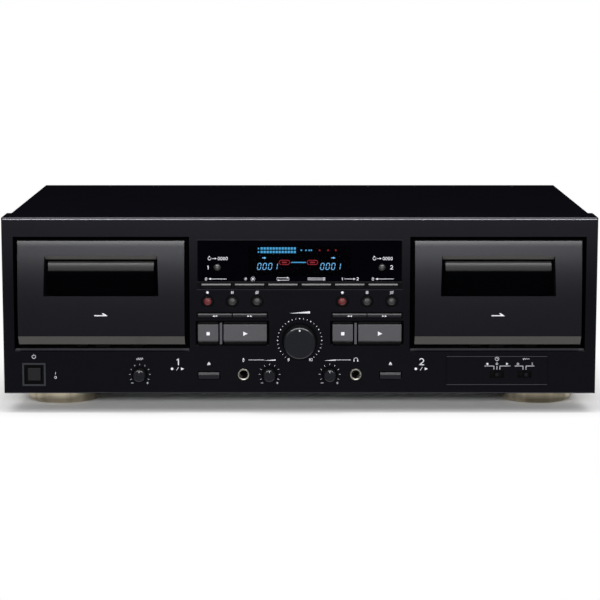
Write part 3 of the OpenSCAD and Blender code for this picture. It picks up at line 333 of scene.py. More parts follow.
black_board = moulded("black_board", tone(9, 10, 10), 0.6, 0.05, 0.8 * mm, 0.004 * mm)
dress(black_board, "front_board")


# Rear panel
# A flat sheet, painted black, screwed to the pan and under the lip of the cover. Nickel-plated signal
# sockets in black blocks and a moulded mains inlet with two pins come through it.
shut = 2e-6


def part_of(node, name, chosen):
    """A copy of a node's mesh that keeps only the closed shells chosen by their box. Every point takes the
    lowest number among its neighbours, over and over, until each shell has one number."""
    mesh = nodes[node].data.copy()
    mesh.name = name
    with opened(mesh) as work:
        bmesh.ops.remove_doubles(work, verts=work.verts, dist=shut)
    points = np.array([vertex.co for vertex in mesh.vertices])
    ends = np.array([edge.vertices for edge in mesh.edges])
    shell = np.arange(len(points))
    settled = False
    while not settled:
        lower = shell.copy()
        np.minimum.at(lower, ends[:, 0], shell[ends[:, 1]])
        np.minimum.at(lower, ends[:, 1], shell[ends[:, 0]])
        lower = lower[lower]
        settled = np.array_equal(lower, shell)
        shell = lower
    kept = [
        number for number in np.unique(shell)
        if chosen(points[shell == number].min(0) / mm, points[shell == number].max(0) / mm)
    ]
    outside = set(np.flatnonzero(~np.isin(shell, kept)).tolist())
    with opened(mesh) as work:
        dropped = [vertex for vertex in work.verts if vertex.index in outside]
        bmesh.ops.delete(work, geom=dropped, context="VERTS")
    return whole(mesh)


def whole(mesh):
    """Makes the flat faces of a mesh whole again and creases its sharp edges."""
    flat = math.radians(0.05)
    crease = math.radians(28)
    with opened(mesh) as work:
        bmesh.ops.dissolve_limit(
            work, angle_limit=flat, use_dissolve_boundaries=False, verts=work.verts, edges=work.edges
        )
    if "custom_normal" in mesh.attributes:
        mesh.attributes.remove(mesh.attributes["custom_normal"])
    mesh.shade_smooth()
    mesh.set_sharp_from_angle(angle=crease)
    return mesh


def split(node, names, chosen):
    """Two copies of a node's mesh: one with the chosen shells, one with the others."""
    first, second = names
    return part_of(node, first, chosen), part_of(node, second, lambda low, high: not chosen(low, high))


rear_paint = moulded("rear_paint", tone(22, 22, 25), 0.5, 0.2, 0.5 * mm, 0.02 * mm)
nickel = turned_metal("nickel_plate", tone(196, 192, 182), 0.22)
block_plastic = moulded("block_plastic", tone(26, 26, 28), 0.45, 0.35, 0.4 * mm)
dress(rear_paint, "rear_panel")


def is_pin_or_sleeve(low, high):
    """True of the round shells, which are less than 11 mm across."""
    return high[0] - low[0] < 11


sleeves, blocks = split("rear_sockets", ("socket_sleeves", "socket_blocks"), is_pin_or_sleeve)
place("socket_sleeves", sleeves, nickel, "cabinet", ["rear_sockets"])
place("socket_blocks", blocks, block_plastic, "cabinet", ["rear_sockets"])


# Tape transports
# Behind each door lies a pressed and blackened plate with a well of black plastic in front of it, and
# a motor with a rubber belt behind. White nylon spindles turn in the plate, and a carriage lifts the heads.
well_plastic = moulded("well_plastic", tone(4, 4, 5), 0.7, 0.02, 0.6 * mm, 0.02 * mm)
round_lines = (1.0, 0.05, 1.0)
motor_steel = turned_metal("motor_steel", tone(150, 150, 148), 0.36, 0.4 * mm, across=round_lines)
nylon = moulded("nylon", tone(206, 205, 198), 0.45, 0.45, 0.5 * mm, 0.008 * mm, 0.03)
belt_rubber = moulded("belt_rubber", tone(22, 22, 22), 0.6, 0.3, 0.4 * mm)
head_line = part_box("head_carriage_1")[1].z - 4 * mm
carriage = Finish("carriage_metal")
on_heads = carriage.rise(carriage.along("Z"), head_line, head_line + 0.3 * mm)
carriage_lines = carriage.grain(0.3 * mm, (0.03, 1.0, 1.0), 1.0)
carriage.fill(carriage.shader, {
    "Base Color": carriage.tint(on_heads, tone(4, 4, 4), tone(178, 176, 168)),
    "Metallic": on_heads,
    "Roughness": 0.5 - on_heads * 0.26 + (carriage_lines - 0.5) * 0.1,
    "Specular IOR Level": 0.02,
})
roller_rubber = moulded("roller_rubber", tone(4, 4, 4), 0.7, 0.02, 0.4 * mm)
flywheel_metal = turned_metal("flywheel_metal", tone(186, 184, 176), 0.26, 0.2 * mm, across=round_lines)
plate_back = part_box("cassette_door_1")[1].y / mm + 4.0


def is_behind(low, high):
    """True of the bridge, its stand-offs and the motor, which reach behind the plate."""
    return high[1] > plate_back


motors, wells = split("transport_frames", ("transport_motors", "transport_wells"), is_behind)
place("transport_wells", wells, well_plastic, "cabinet", ["transport_frames"])
place("transport_motors", motors, motor_steel, "cabinet", ["transport_frames"])
dress(belt_rubber, "drive_belts")
for side in sides:
    dress(nylon, f"supply_spindle_{side}", f"takeup_spindle_{side}")
    dress(flywheel_metal, f"flywheel_{side}")
    dress(carriage.material, f"head_carriage_{side}")
    dress(roller_rubber, f"pinch_roller_{side}")


# Front jacks
# A polished ring screwed over a 6.35 mm jack, whose black body stands on the small board behind the panel.
face_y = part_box("display_window")[0].y / mm - 0.4
ring_metal = turned_metal("ring_metal", tone(150, 148, 140), 0.3, 0.1 * mm, 0.003 * mm, round_lines)
jack_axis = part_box("front_jacks")[1].x - 4.3 * mm
jack_z = 29.3 * mm
bore_r = 3.4 * mm
bore_edge = 0.1 * mm
jack_body = Finish("jack_body")
bore_x = jack_body.node("Math", {"operation": "ABSOLUTE"}, {0: jack_body.along("X")}) - jack_axis
bore_z = jack_body.along("Z") - jack_z
bore_y = jack_body.along("Y")
in_bore = jack_body.rise(bore_x * bore_x + bore_z * bore_z, bore_r ** 2, (bore_r - bore_edge) ** 2)
in_bore = in_bore * jack_body.rise(bore_y, (face_y + 11) * mm, (face_y + 9) * mm)
jack_body.fill(jack_body.shader, {
    "Base Color": jack_body.tint(in_bore, tone(26, 26, 28), tone(226, 222, 208)),
    "Metallic": in_bore,
    "Roughness": 0.42 + jack_body.grain(0.4 * mm) * 0.1,
    "Specular IOR Level": 0.3,
})


def is_ring(low, high):
    """True of the rings, which start in front of the panel."""
    return low[1] < face_y


rings, jacks = split("front_jacks", ("jack_rings", "jack_bodies"), is_ring)
place("jack_rings", rings, ring_metal, "cabinet", ["front_jacks"])
place("jack_bodies", jacks, jack_body.material, "cabinet", ["front_jacks"])


# Front panel
# A face of black plastic with a fine satin grain on a matt rim that the chassis is screwed to. Thin metal
# strips on the bevels along the top and bottom, toned bright and grey, are painted highlight lines, and the
# power button's frame and the bars are lacquered grey. The face itself is painted lighter towards its top,
# with painted highlight lines along the display and on the sill, and painted shade in its recesses.
def softened(mesh, seams=()):
    """A solid's mesh with its points joined and its flat faces whole. Where two pieces butt at a seam,
    given by its distance from the middle, the end faces go and the pieces become one."""
    reach = 0.06 * mm
    bridge = 0.07 * mm
    with opened(mesh) as work:
        bmesh.ops.remove_doubles(work, verts=work.verts, dist=shut)
        for seam in seams:
            near = [vertex for vertex in work.verts if abs(abs(vertex.co.x) - seam) < reach]
            bmesh.ops.remove_doubles(work, verts=near, dist=bridge)
            ends = [
                face for face in work.faces
                if abs(face.normal.x) > 0.99 and abs(abs(face.calc_center_median().x) - seam) < reach
            ]
            bmesh.ops.delete(work, geom=ends, context="FACES_ONLY")
    return whole(mesh)


def copy_of(node):
    """A copy of a node's mesh, joined and whole."""
    mesh = nodes[node].data.copy()
    mesh.name = node
    return softened(mesh)


def rounded(piece, width, segments=2, limit=28):
    """Rounds the sharp edges of a piece with a Bevel modifier."""
    bevel = piece.modifiers.new("rounded_edges", "BEVEL")
    bevel.width = width
    bevel.segments = segments
    bevel.limit_method = "ANGLE"
    bevel.angle_limit = math.radians(limit)
    bevel.use_clamp_overlap = True
    bevel.harden_normals = True


def middle(node):
    """The middle of a node's box, as x and z in millimetres."""
    low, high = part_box(node)
    return np.array(((low.x + high.x) / 2, (low.z + high.z) / 2)) / mm


def is_rail(low, high):
    """True of the rails of the rim, which lie behind the face."""
    return low[1] > face_y + 2.9


seam_x = 78.5 * mm
raised_depth = 0.56 * mm
bars_z = 46 * mm
fade_low = 84 * mm
fade_high = 146 * mm
sill_low = 47.2 * mm
sill_high = 48.6 * mm
panel_plastic = Finish("panel_plastic")
panel_fine = panel_plastic.grain(0.3 * mm)
panel_broad = panel_plastic.grain(26 * mm, detail=3.0)
panel_x, panel_y, panel_z = [panel_plastic.along(axis) for axis in "XYZ"]
panel_front = face_y * mm - raised_depth
raised = panel_plastic.rise(panel_y, panel_front + 0.03 * mm, panel_front - 0.03 * mm)
on_bars = panel_plastic.rise(panel_z, bars_z - 2 * mm, bars_z)
grey_lacquer = panel_plastic.tint(on_bars, tone(43, 44, 47), tone(70, 69, 74))
facing_up = panel_plastic.rise(panel_plastic.facing("Z"), 0.45, 0.6)
panel_depth = panel_y - face_y * mm
window_low, window_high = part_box("display_window")
strip_z = window_low.z - 3.25 * mm


def panel_line(low, high):
    """A band of the panel between two heights, with soft edges."""
    soft = 0.1 * mm
    return panel_plastic.rise(panel_z, low - soft, low) * panel_plastic.rise(panel_z, high + soft, high)


# Painted light: the face is painted lighter towards its top.
panel_painted_light = panel_plastic.rise(panel_z, fade_low, fade_high)
panel_face = panel_plastic.tint(panel_painted_light, tone(6, 6, 11), tone(18, 18, 23))
# Painted highlights: thin lighter lines along the edges of the display and of the strip of keys.
highlight_half = 75.4 * mm
highlight_soft = 0.5 * mm
within = panel_plastic.rise(panel_x * panel_x, highlight_half ** 2, (highlight_half - highlight_soft) ** 2)
painted_highlight_lines = panel_line(window_high.z + 0.3 * mm, window_high.z + 0.85 * mm)
painted_highlight_lines = painted_highlight_lines + panel_line(strip_z + 2.25 * mm, strip_z + 2.85 * mm) * 0.5
painted_highlight_lines = painted_highlight_lines + panel_line(strip_z - 3.2 * mm, strip_z - 2.6 * mm) * 0.6
lined = panel_plastic.tint(painted_highlight_lines * within, panel_face, tone(36, 36, 41))
# Painted shade: every recess deeper than about a third of a millimetre is painted near black.
face_with_painted_recess_shade = panel_plastic.tint(panel_plastic.rise(panel_depth, 0.3 * mm, 0.6 * mm), lined, tone(3, 3, 4))
# Painted highlight: the upward faces of the sill below the doors are painted lighter.
painted_sill_highlight = panel_plastic.rise(panel_z, sill_low - 0.3 * mm, sill_low)
painted_sill_highlight = painted_sill_highlight * panel_plastic.rise(panel_z, sill_high + 0.4 * mm, sill_high)
face_with_painted_sill_highlight = panel_plastic.tint(facing_up * painted_sill_highlight, face_with_painted_recess_shade, tone(50, 50, 54))
panel_plastic.fill(panel_plastic.shader, {
    "Base Color": panel_plastic.tint(raised, face_with_painted_sill_highlight, grey_lacquer),
    "Roughness": 0.31 + (panel_fine - 0.5) * 0.12 + (panel_broad - 0.5) * 0.06,
    "Specular IOR Level": 0.036,
    "Normal": panel_plastic.relief(panel_fine, 0.3, 0.008 * mm),
})
rim_plastic = moulded("rim_plastic", tone(12, 12, 16), 0.85, 0.0, 0.5 * mm, 0.02 * mm)
rails, faces = split("front_panel", ("panel_rim", "panel"), is_rail)
softened(rails)
softened(faces, [seam_x])
panel = place("panel", faces, panel_plastic.material, "cabinet", ["front_panel"])
rim = place("panel_rim", rails, rim_plastic, "cabinet", ["front_panel"])
rounded(panel, 0.18 * mm)
rounded(rim, 0.18 * mm)


def bar(outline, left, right):
    """A bar along x, in millimetres: an outline of depth and height at both ends, and a fan from the middle
    of the outline that shuts each end."""
    ring = np.array(outline, float)
    middle_point = np.broadcast_to(ring.mean(0), ring.shape)
    rows = ((left, middle_point), (left, ring), (right, ring), (right, middle_point))
    return np.stack([np.insert(points, 0, x, axis=1) for x, points in rows]) * mm


def edge_strip(name, start, end, lift=0.02, sink=0.1):
    """A thin bar on a bevel, along the whole width: its outline runs from a start to an end point, given
    as depth and height, lifted off the bevel by a little, and back just under it."""
    run = (end - start) / np.linalg.norm(end - start)
    out = np.array((-abs(run[1]), run[0] * np.sign(run[1])))
    outline = np.array([start + out * lift, end + out * lift, end - out * sink, start - out * sink])
    half = panel_half - 0.9
    return mesh_of(name, [bar(outline + (face_y, 0), -half, half)])


panel_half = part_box("front_panel")[1].x / mm
panel_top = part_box("front_panel")[1].z / mm
panel_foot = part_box("front_panel")[0].z / mm
top_run = np.array((1.4, 2.0))
top_start = np.array((0.0, panel_top - 2.0))
foot_start = np.array((0.0, panel_foot + 0.9))
long_lines = (0.02, 1.0, 1.0)
# Painted highlights: the bright and the grey tone of these metal strips stand for the highlight lines of
# the bevels. The metal also reflects the lamps.
bright_highlight_metal = turned_metal("bright_highlight_metal", tone(170, 170, 176), 0.3, 0.2 * mm, 0.002 * mm, long_lines)
grey_highlight_metal = turned_metal("grey_highlight_metal", tone(70, 69, 75), 0.4, 0.2 * mm, 0.002 * mm, long_lines)
for name, start, end, metal in (
    ("bright_line", top_start + 0.28 * top_run, top_start + 0.41 * top_run, bright_highlight_metal),
    ("grey_band", top_start + 0.5 * top_run, top_start + 0.94 * top_run, grey_highlight_metal),
    ("foot_line", foot_start + (0.1, -0.1), foot_start + (0.7, -0.7), grey_highlight_metal),
):
    place(name, edge_strip(name, start, end), metal, "cabinet")


# Printing on the panel
# Plain signs and dial marks, screened on the panel and on the display window in white ink.
white_ink = moulded("white_ink", tone(198, 198, 204), 0.55, 0.1, 0.4 * mm, 0.002 * mm, 0.02)
ink = 0.03
ink_gap = 0.002


def disc(centre, radius, steps=24):
    """The outline of a disc: radius * (cos a, sin a) around the centre."""
    angle = np.linspace(0, 2 * math.pi, steps, endpoint=False)
    return np.array(centre) + radius * np.stack([np.cos(angle), np.sin(angle)], -1)


def arc(centre, radius, start, stop, steps=24):
    """Points on an arc between two angles in degrees, turning clockwise from straight up."""
    angle = np.radians(np.linspace(start, stop, steps))
    return np.array(centre) + radius * np.stack([np.sin(angle), np.cos(angle)], -1)


def stroke(path, width):
    """The outline of a line of even width: the path moved half the width to the left, then back along it
    moved half the width to the right."""
    path = np.array(path, float)
    run = np.gradient(path, axis=0)
    across = np.stack([-run[:, 1], run[:, 0]], -1) / np.linalg.norm(run, axis=1)[:, None] * width / 2
    return np.concatenate([path + across, (path - across)[::-1]])


def wedge(tip, way, length, half):
    """A triangle that points along a direction."""
    tip = np.array(tip, float)
    way = np.array(way, float) / np.linalg.norm(way)
    across = np.array((-way[1], way[0]))
    return np.array([tip, tip - way * length + across * half, tip - way * length - across * half])


def slab(left, right, bottom, top):
    """A rectangle by its sides."""
    return np.array([(left, bottom), (right, bottom), (right, top), (left, top)], float)


def moved(outlines, centre, size=1.0):
    """Outlines drawn around the origin, scaled and moved to a centre."""
    return [np.array(centre) + outline * size for outline in outlines]


def level_plane(depth):
    """The plane at a depth behind the face of the panel, as y = a + b * x + c * z in millimetres."""
    return (face_y + depth, 0.0, 0.0)


def front_plane(node, spot):
    """The plane of the foremost face of a node at a spot, as y = a + b * x + c * z in millimetres."""
    x, z = np.array(spot) * mm
    mesh = copy_of(node)
    corners = [np.array([mesh.vertices[i].co for i in face.vertices]) for face in mesh.polygons]
    ahead = [
        (points[:, 1].min(), face.normal.copy(), face.center.copy())
        for face, points in zip(mesh.polygons, corners)
        if face.normal.y < -0.5
        and points[:, 0].min() <= x <= points[:, 0].max()
        and points[:, 2].min() <= z <= points[:, 2].max()
    ]
    normal, centre = min(ahead, key=lambda face: face[0])[1:]
    bpy.data.meshes.remove(mesh)
    slope_x = -normal.x / normal.y
    slope_z = -normal.z / normal.y
    return ((centre.y - slope_x * centre.x - slope_z * centre.z) / mm, slope_x, slope_z)


def printed(name, outlines, plane, body, material=white_ink, facing=0):
    """One mesh of thin closed plates, one for each outline, whose backs lie just off a plane. The plates
    look to the front, or are turned about the upright axis by an angle in degrees."""
    start, slope_x, slope_z = plane
    points = []
    faces = []
    first = 0
    for outline in outlines:
        count = len(outline)
        index = first + np.arange(count)
        following = np.roll(index, -1)
        surface = start + slope_x * outline[:, 0] + slope_z * outline[:, 1]
        for lift in (ink, ink_gap):
            points.append(np.stack([outline[:, 0], surface - lift, outline[:, 1]], -1) * mm)
        faces += [index.tolist(), (index + count)[::-1].tolist()]
        faces += np.stack([index, index + count, following + count, following], -1).tolist()
        first += 2 * count
    mesh = bpy.data.meshes.new(name)
    cos, sin = math.cos(math.radians(facing)), math.sin(math.radians(facing))
    turned_points = np.concatenate(points) @ np.array([(cos, sin, 0), (-sin, cos, 0), (0, 0, 1)])
    mesh.from_pydata(turned_points.tolist(), [], faces)
    place(name, tidied(mesh, join=1e-9), material, body)


def numeral(digit, centre, height, weight):
    """A plain figure drawn with lines of even width."""
    half = height / 2
    wide = 0.3 * height
    round_turn = np.linspace(0, 6.26, 40)
    zero = np.stack([wide * np.sin(round_turn), half * np.cos(round_turn)], -1)
    bow = arc((0, half - wide), wide, -75, 130, 20)
    stem = 0.1 * height
    base = weight / 2 - half
    ends = wide + weight / 2
    lines = {
        "0": [stroke(zero, weight)],
        "1": [
            stroke([(stem, -half), (stem, half)], weight * 1.2),
            stroke([(stem, half - stem), (-0.16 * height, half - 0.24 * height)], weight),
        ],
        "2": [
            stroke(np.concatenate([bow, [(-wide, base)]]), weight),
            stroke([(-ends, base), (ends, base)], weight),
        ],
    }
    return moved(lines[digit], centre)


fine_line = 0.32


def sun(centre, size):
    """A disc with eight rays."""
    turns = np.radians(np.arange(0, 360, 45))
    ways = np.stack([np.cos(turns), np.sin(turns)], -1) * size
    rays = [stroke([way, way * 1.5], 0.3 * size) for way in ways]
    return moved([disc((0, 0), 0.62 * size)] + rays, centre)


turn_sign = [stroke(arc((-5.6, 0), 1.1, 50, 330), fine_line), wedge((-5.0, 1.3), (1, -0.1), 1.1, 0.65)]
turn_sign += [stroke([(-3.6, 0), (-1.6, 0)], fine_line), wedge((-0.4, 0), (1, 0), 1.4, 0.7)]
for x in (1.2, 3.1, 5.0, 6.9):
    turn_sign += numeral("0", (x, 0), 2.1, fine_line)
loop_sign = [
    stroke([(-4.4, -0.4), (-4.4, 0.9), (3.0, 0.9)], fine_line), wedge((4.4, 0.9), (1, 0), 1.5, 0.65),
    stroke([(4.4, 0.4), (4.4, -0.9), (-3.0, -0.9)], fine_line), wedge((-4.4, -0.9), (-1, 0), 1.5, 0.65),
]
return_sign = [stroke([(7.6, 0), (-4.0, 0)], fine_line), wedge((-5.6, 0), (-1, 0), 1.8, 0.8)]
return_sign += numeral("0", (-7.4, 0), 2.0, fine_line)
sun_sign = sun((-2.8, 0), 0.75) + sun((2.4, 0), 1.15)
parallel_sign = [
    outline for z in (0.65, -0.65)
    for outline in (stroke([(-6.4, z), (5.4, z)], fine_line), wedge((6.8, z), (1, 0), 1.6, 0.55))
]
copy_sign = [stroke([(-4.0, 0), (3.0, 0)], fine_line), wedge((4.2, 0), (1, 0), 1.6, 0.75)]
copy_sign += numeral("1", (-5.6, 0), 2.1, fine_line) + numeral("2", (5.8, 0), 2.1, fine_line)
pause_sign = [slab(-0.8, -0.3, -1.0, 1.0), slab(0.3, 0.8, -1.0, 1.0)]
mute_sign = [stroke(arc((0, 0), 1.0, 1, 358), 0.28), stroke([(-1.3, -1.3), (1.3, 1.3)], 0.28)]
level_sign = [np.array([(-8.0, -0.7), (8.0, -0.7), (8.0, 0.9)])]
eject_sign = [wedge((0, 1.5), (0, 1), 1.5, 1.15), slab(-1.15, 1.15, -0.8, -0.35)]
voice_sign = [
    stroke([(0, -0.1), (0, 1.3)], 1.0), stroke(arc((0, 0.3), 1.15, 100, 260), 0.28),
    slab(-0.14, 0.14, -1.6, -0.8), slab(-0.8, 0.8, -1.8, -1.55),
]
ears_sign = [
    stroke(arc((0, 0), 1.5, -90, 90), fine_line), slab(-1.8, -1.1, -1.4, 0.1), slab(1.1, 1.8, -1.4, 0.1),
]
power_sign = [stroke(arc((0, 0), 1.4, 35, 325), fine_line), stroke([(0, 0.4), (0, 1.8)], fine_line)]
clock_sign = [stroke(arc((0, 0), 1.35, 1, 359), 0.26), stroke([(0, 0.85), (0, 0)], 0.26)]
clock_sign += [stroke([(0, 0), (0.65, 0)], 0.26)]
wave_x = np.linspace(-2.4, 2.4, 40)
wave = np.sin(wave_x * 4.2)
fading = 0.85 * wave * np.exp(-(wave_x + 2.4) * 0.5)
wave_sign = [stroke(np.stack([wave_x, fading], -1), 0.26)]
mode_sign = [disc((-4.2, 0), 0.95), stroke([(-1.0, -1.2), (0.6, 1.2)], fine_line)]
mode_sign += [wedge((4.6, 0), (1, 0), 2.2, 1.05)]

strip_keys = ["zero_button_1", "dimmer_button", "repeat_button"]
strip_keys += ["parallel_button", "dubbing_button", "zero_button_2"]
strip_signs = [return_sign, sun_sign, loop_sign, parallel_sign, copy_sign, return_sign]
over_strip = (0, 4.9)
over_reset = (0, 6.6)
window_print = []
for node, sign in zip(strip_keys, strip_signs):
    window_print += moved(sign, middle(node) + over_strip)
for side, way in zip(sides, (-1, 1)):
    reset = middle(f"reset_button_{side}")
    window_print += moved(turn_sign, reset + over_reset)
    window_print += numeral(str(side), reset + (way * 6.9, 0), 2.9, 0.45)
printed("window_print", window_print, level_plane(0.4), "cabinet")


def dial_marks(centre, radius, angles, length, width):
    """Ticks that point at the middle of a dial, at angles turning clockwise from straight up."""
    ends = (radius, radius + length)
    return [stroke(np.concatenate([arc(centre, r, a, a, 1) for r in ends]), width) for a in angles]


def range_marks(x):
    """A minus and a plus sign under a dial, drawn with thin bars."""
    z = 22.84
    arm = 0.85
    half = 0.14
    minus, plus = x - 5.6, x + 5.6
    bars = [slab(spot - arm, spot + arm, z - half, z + half) for spot in (minus, plus)]
    return bars + [slab(plus - half, plus + half, z - arm, z + arm)]


level = middle("level_knob")
level_angles = range(-150, 151, 10)
panel_print = moved(level_sign, level + (0, 20.8), 0.95)
panel_print += [disc(arc(level, 16.2, a, a, 1)[0], 0.42, 14) for a in level_angles if a % 30 == 0]
panel_print += dial_marks(level, 15.75, [a for a in level_angles if a % 30], 0.95, 0.3)
for digit, x in (("0", -8.2), ("1", 7.2), ("0", 8.8)):
    panel_print += numeral(digit, level + (x, -14.3), 2.0, 0.28)
over_round = (0, 6.8)
over_eject = (0, 8.6)
for side, way in zip(sides, (-1, 1)):
    record, pause, mute = (middle(f"{name}_button_{side}") for name in ("record", "pause", "mute"))
    panel_print += moved([disc((0, 0), 0.95)], record + over_round)
    panel_print += moved(pause_sign, pause + over_round)
    panel_print += moved(mute_sign, mute + over_round, 0.95)
    panel_print += moved(eject_sign, middle(f"eject_button_{side}") + over_eject)
    group = np.array((way * 89.6, 33.4))
    panel_print += numeral(str(side), group + (0, 5.2), 4.9, 0.62)
    panel_print += moved(mode_sign, group)
for node in ("mic_knob", "phones_knob", "pitch_knob"):
    knob = middle(node)
    panel_print += dial_marks(knob, 6.8, range(-120, 121, 30), 1.2, 0.22)
    panel_print += range_marks(knob[0])
jack_sign_z = 40.2
for node in ("mic_knob", "phones_knob"):
    knob = middle(node)
    panel_print += moved(level_sign, knob + (0, 10.6), 0.55)
    lead = np.sort(np.sign(knob[0]) * np.array((26.2, 37.6)))
    panel_print += [slab(lead[0], lead[1], jack_sign_z - 0.3, jack_sign_z)]
panel_print += moved(voice_sign, (-41.3, jack_sign_z), 0.85) + moved(ears_sign, (41.3, jack_sign_z), 0.95)
pitch_wave = np.stack([wave_x, 0.8 * wave], -1)
panel_print += [stroke(pitch_wave + middle("pitch_knob") + (0, 11.5), 0.26)]
power_x, power_z = middle("power_button")
panel_print += moved(power_sign, (power_x, power_z + 13.2), 0.95)
state_x = power_x + 15.75
panel_print += [slab(state_x - 0.15, state_x + 0.15, power_z - 0.1, power_z + 1.7)]
panel_print += [stroke(arc((state_x, power_z - 2.3), 0.8, 1, 359), 0.28)]
printed("panel_print", panel_print, level_plane(0.0), "cabinet")

timer_x = middle("timer_slider")[0]
noise_x = middle("noise_slider")[0]
mark_z = 35.6
mark_half = 0.15
tick_half = 0.17
tick_low = mark_z - 2.6
tick_high = mark_z - 0.1
sign_z = 37.2
title_z = 40.9
switch_print = []
for x, bars, ticks in (
    (timer_x, ((-9.2, -2.4), (2.3, 9.9)), (-2.2, 0, 2.2)),
    (noise_x, ((-8.3, -2.2), (0.0, 6.0)), (-2.2, 0)),
):
    for start, stop in bars:
        switch_print += [slab(x + start, x + stop, mark_z - mark_half, mark_z + mark_half)]
    for tick in ticks:
        switch_print += [slab(x + tick - tick_half, x + tick + tick_half, tick_low, tick_high)]
off_sign = [stroke(arc((0, 0), 0.65, 1, 359), 0.28)]
switch_print += moved([disc((0, 0), 0.75)], (timer_x - 7, sign_z))
switch_print += moved(off_sign, (timer_x, sign_z))
switch_print += moved([wedge((1, 0), (1, 0), 1.7, 0.9)], (timer_x + 7.4, sign_z))
switch_print += moved(off_sign, (noise_x - 6, sign_z))
switch_print += [slab(noise_x + 4.3, noise_x + 4.6, sign_z - 0.9, sign_z + 0.9)]
switch_print += moved(clock_sign, (timer_x, title_z)) + moved(wave_sign, (noise_x, title_z))
printed("switch_print", switch_print, level_plane(-0.5), "cabinet")
# Painted highlights: grey lines along the top and bottom edges of the raised switch plate.
grey_highlight_ink = moulded("grey_highlight_ink", tone(46, 46, 51), 0.5, 0.1, 0.4 * mm, 0.002 * mm, 0.02)
plate_left = 108.0
plate_right = 181.9
plate_edge_highlights = [slab(plate_left, plate_right, low, low + 0.45) for low in (21.5, 42.5)]
printed("plate_edge_highlights", plate_edge_highlights, level_plane(-0.5), "cabinet", grey_highlight_ink)


# Display
# A fluorescent tube behind a window of smoked plastic, printed black on its back around the tube. The
# segments glow cyan and red.
tube_glass = moulded("tube_glass", tone(4, 4, 6), 0.2, 0.05, 1.5 * mm, 0.001 * mm)
dress(tube_glass, "display_tube")
window = Finish("window_plastic")
window_drift = window.grain(30 * mm)
tube_low, tube_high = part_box("display_tube")
window_x = window.along("X")
window_z = window.along("Z")
clear_across = window.rise(window_x * window_x, tube_high.x ** 2, (tube_high.x - 1 * mm) ** 2)
clear_up = window.rise(window_z, tube_low.z, tube_low.z + 1 * mm)
clear_up = clear_up * window.rise(window_z, tube_high.z, tube_high.z - 1 * mm)
window.fill(window.shader, {
    "Base Color": window.tint(window_drift, tone(1, 1, 3), tone(3, 2, 5)),
    "Roughness": 0.08 + window_drift * 0.06,
    "Specular IOR Level": 0.004,
    "Alpha": 1 - clear_across * clear_up * 0.5,
})
dress(window.material, "display_window")


def glowing(name, colour, strength):
    """Phosphor that glows: the colour drifts a little from spot to spot."""
    finish = Finish(name)
    spots = finish.grain(1.5 * mm)
    finish.fill(finish.shader, {
        "Base Color": (*tone(18, 22, 24), 1.0),
        "Roughness": 0.6,
        "Emission Color": finish.tint(spots, *spread(colour, 0.12)),
        "Emission Strength": strength,
    })
    return finish.material


def segments(digit, centre, height):
    """A slanted nought or one, drawn with straight bars as fluorescent tubes draw it."""
    half = height / 2
    side_x = height / 4
    half_thick = 0.05 * height
    reach = side_x - 0.06 * height
    level_bars = [(0, half), (0, -half)] if digit == "0" else []
    upright_sides = (-side_x, side_x) if digit == "0" else (side_x,)
    upright_bars = [(x, z) for z in (half / 2, -half / 2) for x in upright_sides]
    shapes = [slab(x - reach, x + reach, z - half_thick, z + half_thick) for x, z in level_bars]
    shapes += [slab(x - half_thick, x + half_thick, z - reach, z + reach) for x, z in upright_bars]
    lean = np.array([(1, 0), (0.16, 1)])
    return [np.array(centre) + shape @ lean for shape in shapes]


cyan_glow = glowing("cyan_glow", tone(84, 180, 236), 3.0)
pale_glow = glowing("pale_glow", tone(124, 196, 248), 4.0)
red_glow = glowing("red_glow", tone(214, 62, 74), 1.6)
tube_face = tube_low.y / mm - face_y
meter_rows = (118.5, 121.1)
bar_lefts = [2.2 * i - 28.6 for i in range(12)]
dot_z = 120.6
badge_z = 111.65
badge_r = 1.6
run_z = 115.0
counter_z = 108.7
meter = [slab(left, left + 1.6, z, z + 1.7) for left in bar_lefts for z in meter_rows]
meter += [slab(-30.6, -29.6, z + 0.2, z + 1.4) for z in meter_rows]
meter += [disc((x, dot_z), 0.62, 12) for x in (1.2, 4.6, 7.0, 8.6)]
meter += [slab(-6.3, 4.6, badge_z - 0.35, badge_z + 0.35)]
overload = [disc((x, dot_z), 0.6, 12) for x in (14.6, 20.8, 26.4)]
for left, right in ((-15.2, -7.1), (5.3, 13.4)):
    round_ends = ((left + 1.8, 180), (right - 1.8, 0))
    badge = [arc((x, badge_z), badge_r, angle, angle + 180, 14) for x, angle in round_ends]
    overload += [stroke(np.concatenate(badge + [[(left + 2.2, badge_z - badge_r)]]), 0.5)]
    overload += [slab(left + 2.2, right - 2.2, badge_z - 0.55, badge_z + 0.55)]
counters = [
    shape for start in (-29.6, 16.6)
    for position, digit in enumerate("0001")
    for shape in segments(digit, (start + 4.0 * position, counter_z), 4.6)
]
for tip in (-24.4, 26.2):
    counters += [wedge((tip, run_z), (1, 0), 1.6, 0.8)]
    counters += [slab(tip - 3.0, tip - 1.4, run_z - 0.3, run_z + 0.3)]
for name, shapes, glow in (
    ("meter_glow", meter, cyan_glow),
    ("overload_glow", overload, red_glow),
    ("counter_glow", counters, pale_glow),
):
    printed(name, shapes, level_plane(tube_face), "cabinet", glow)


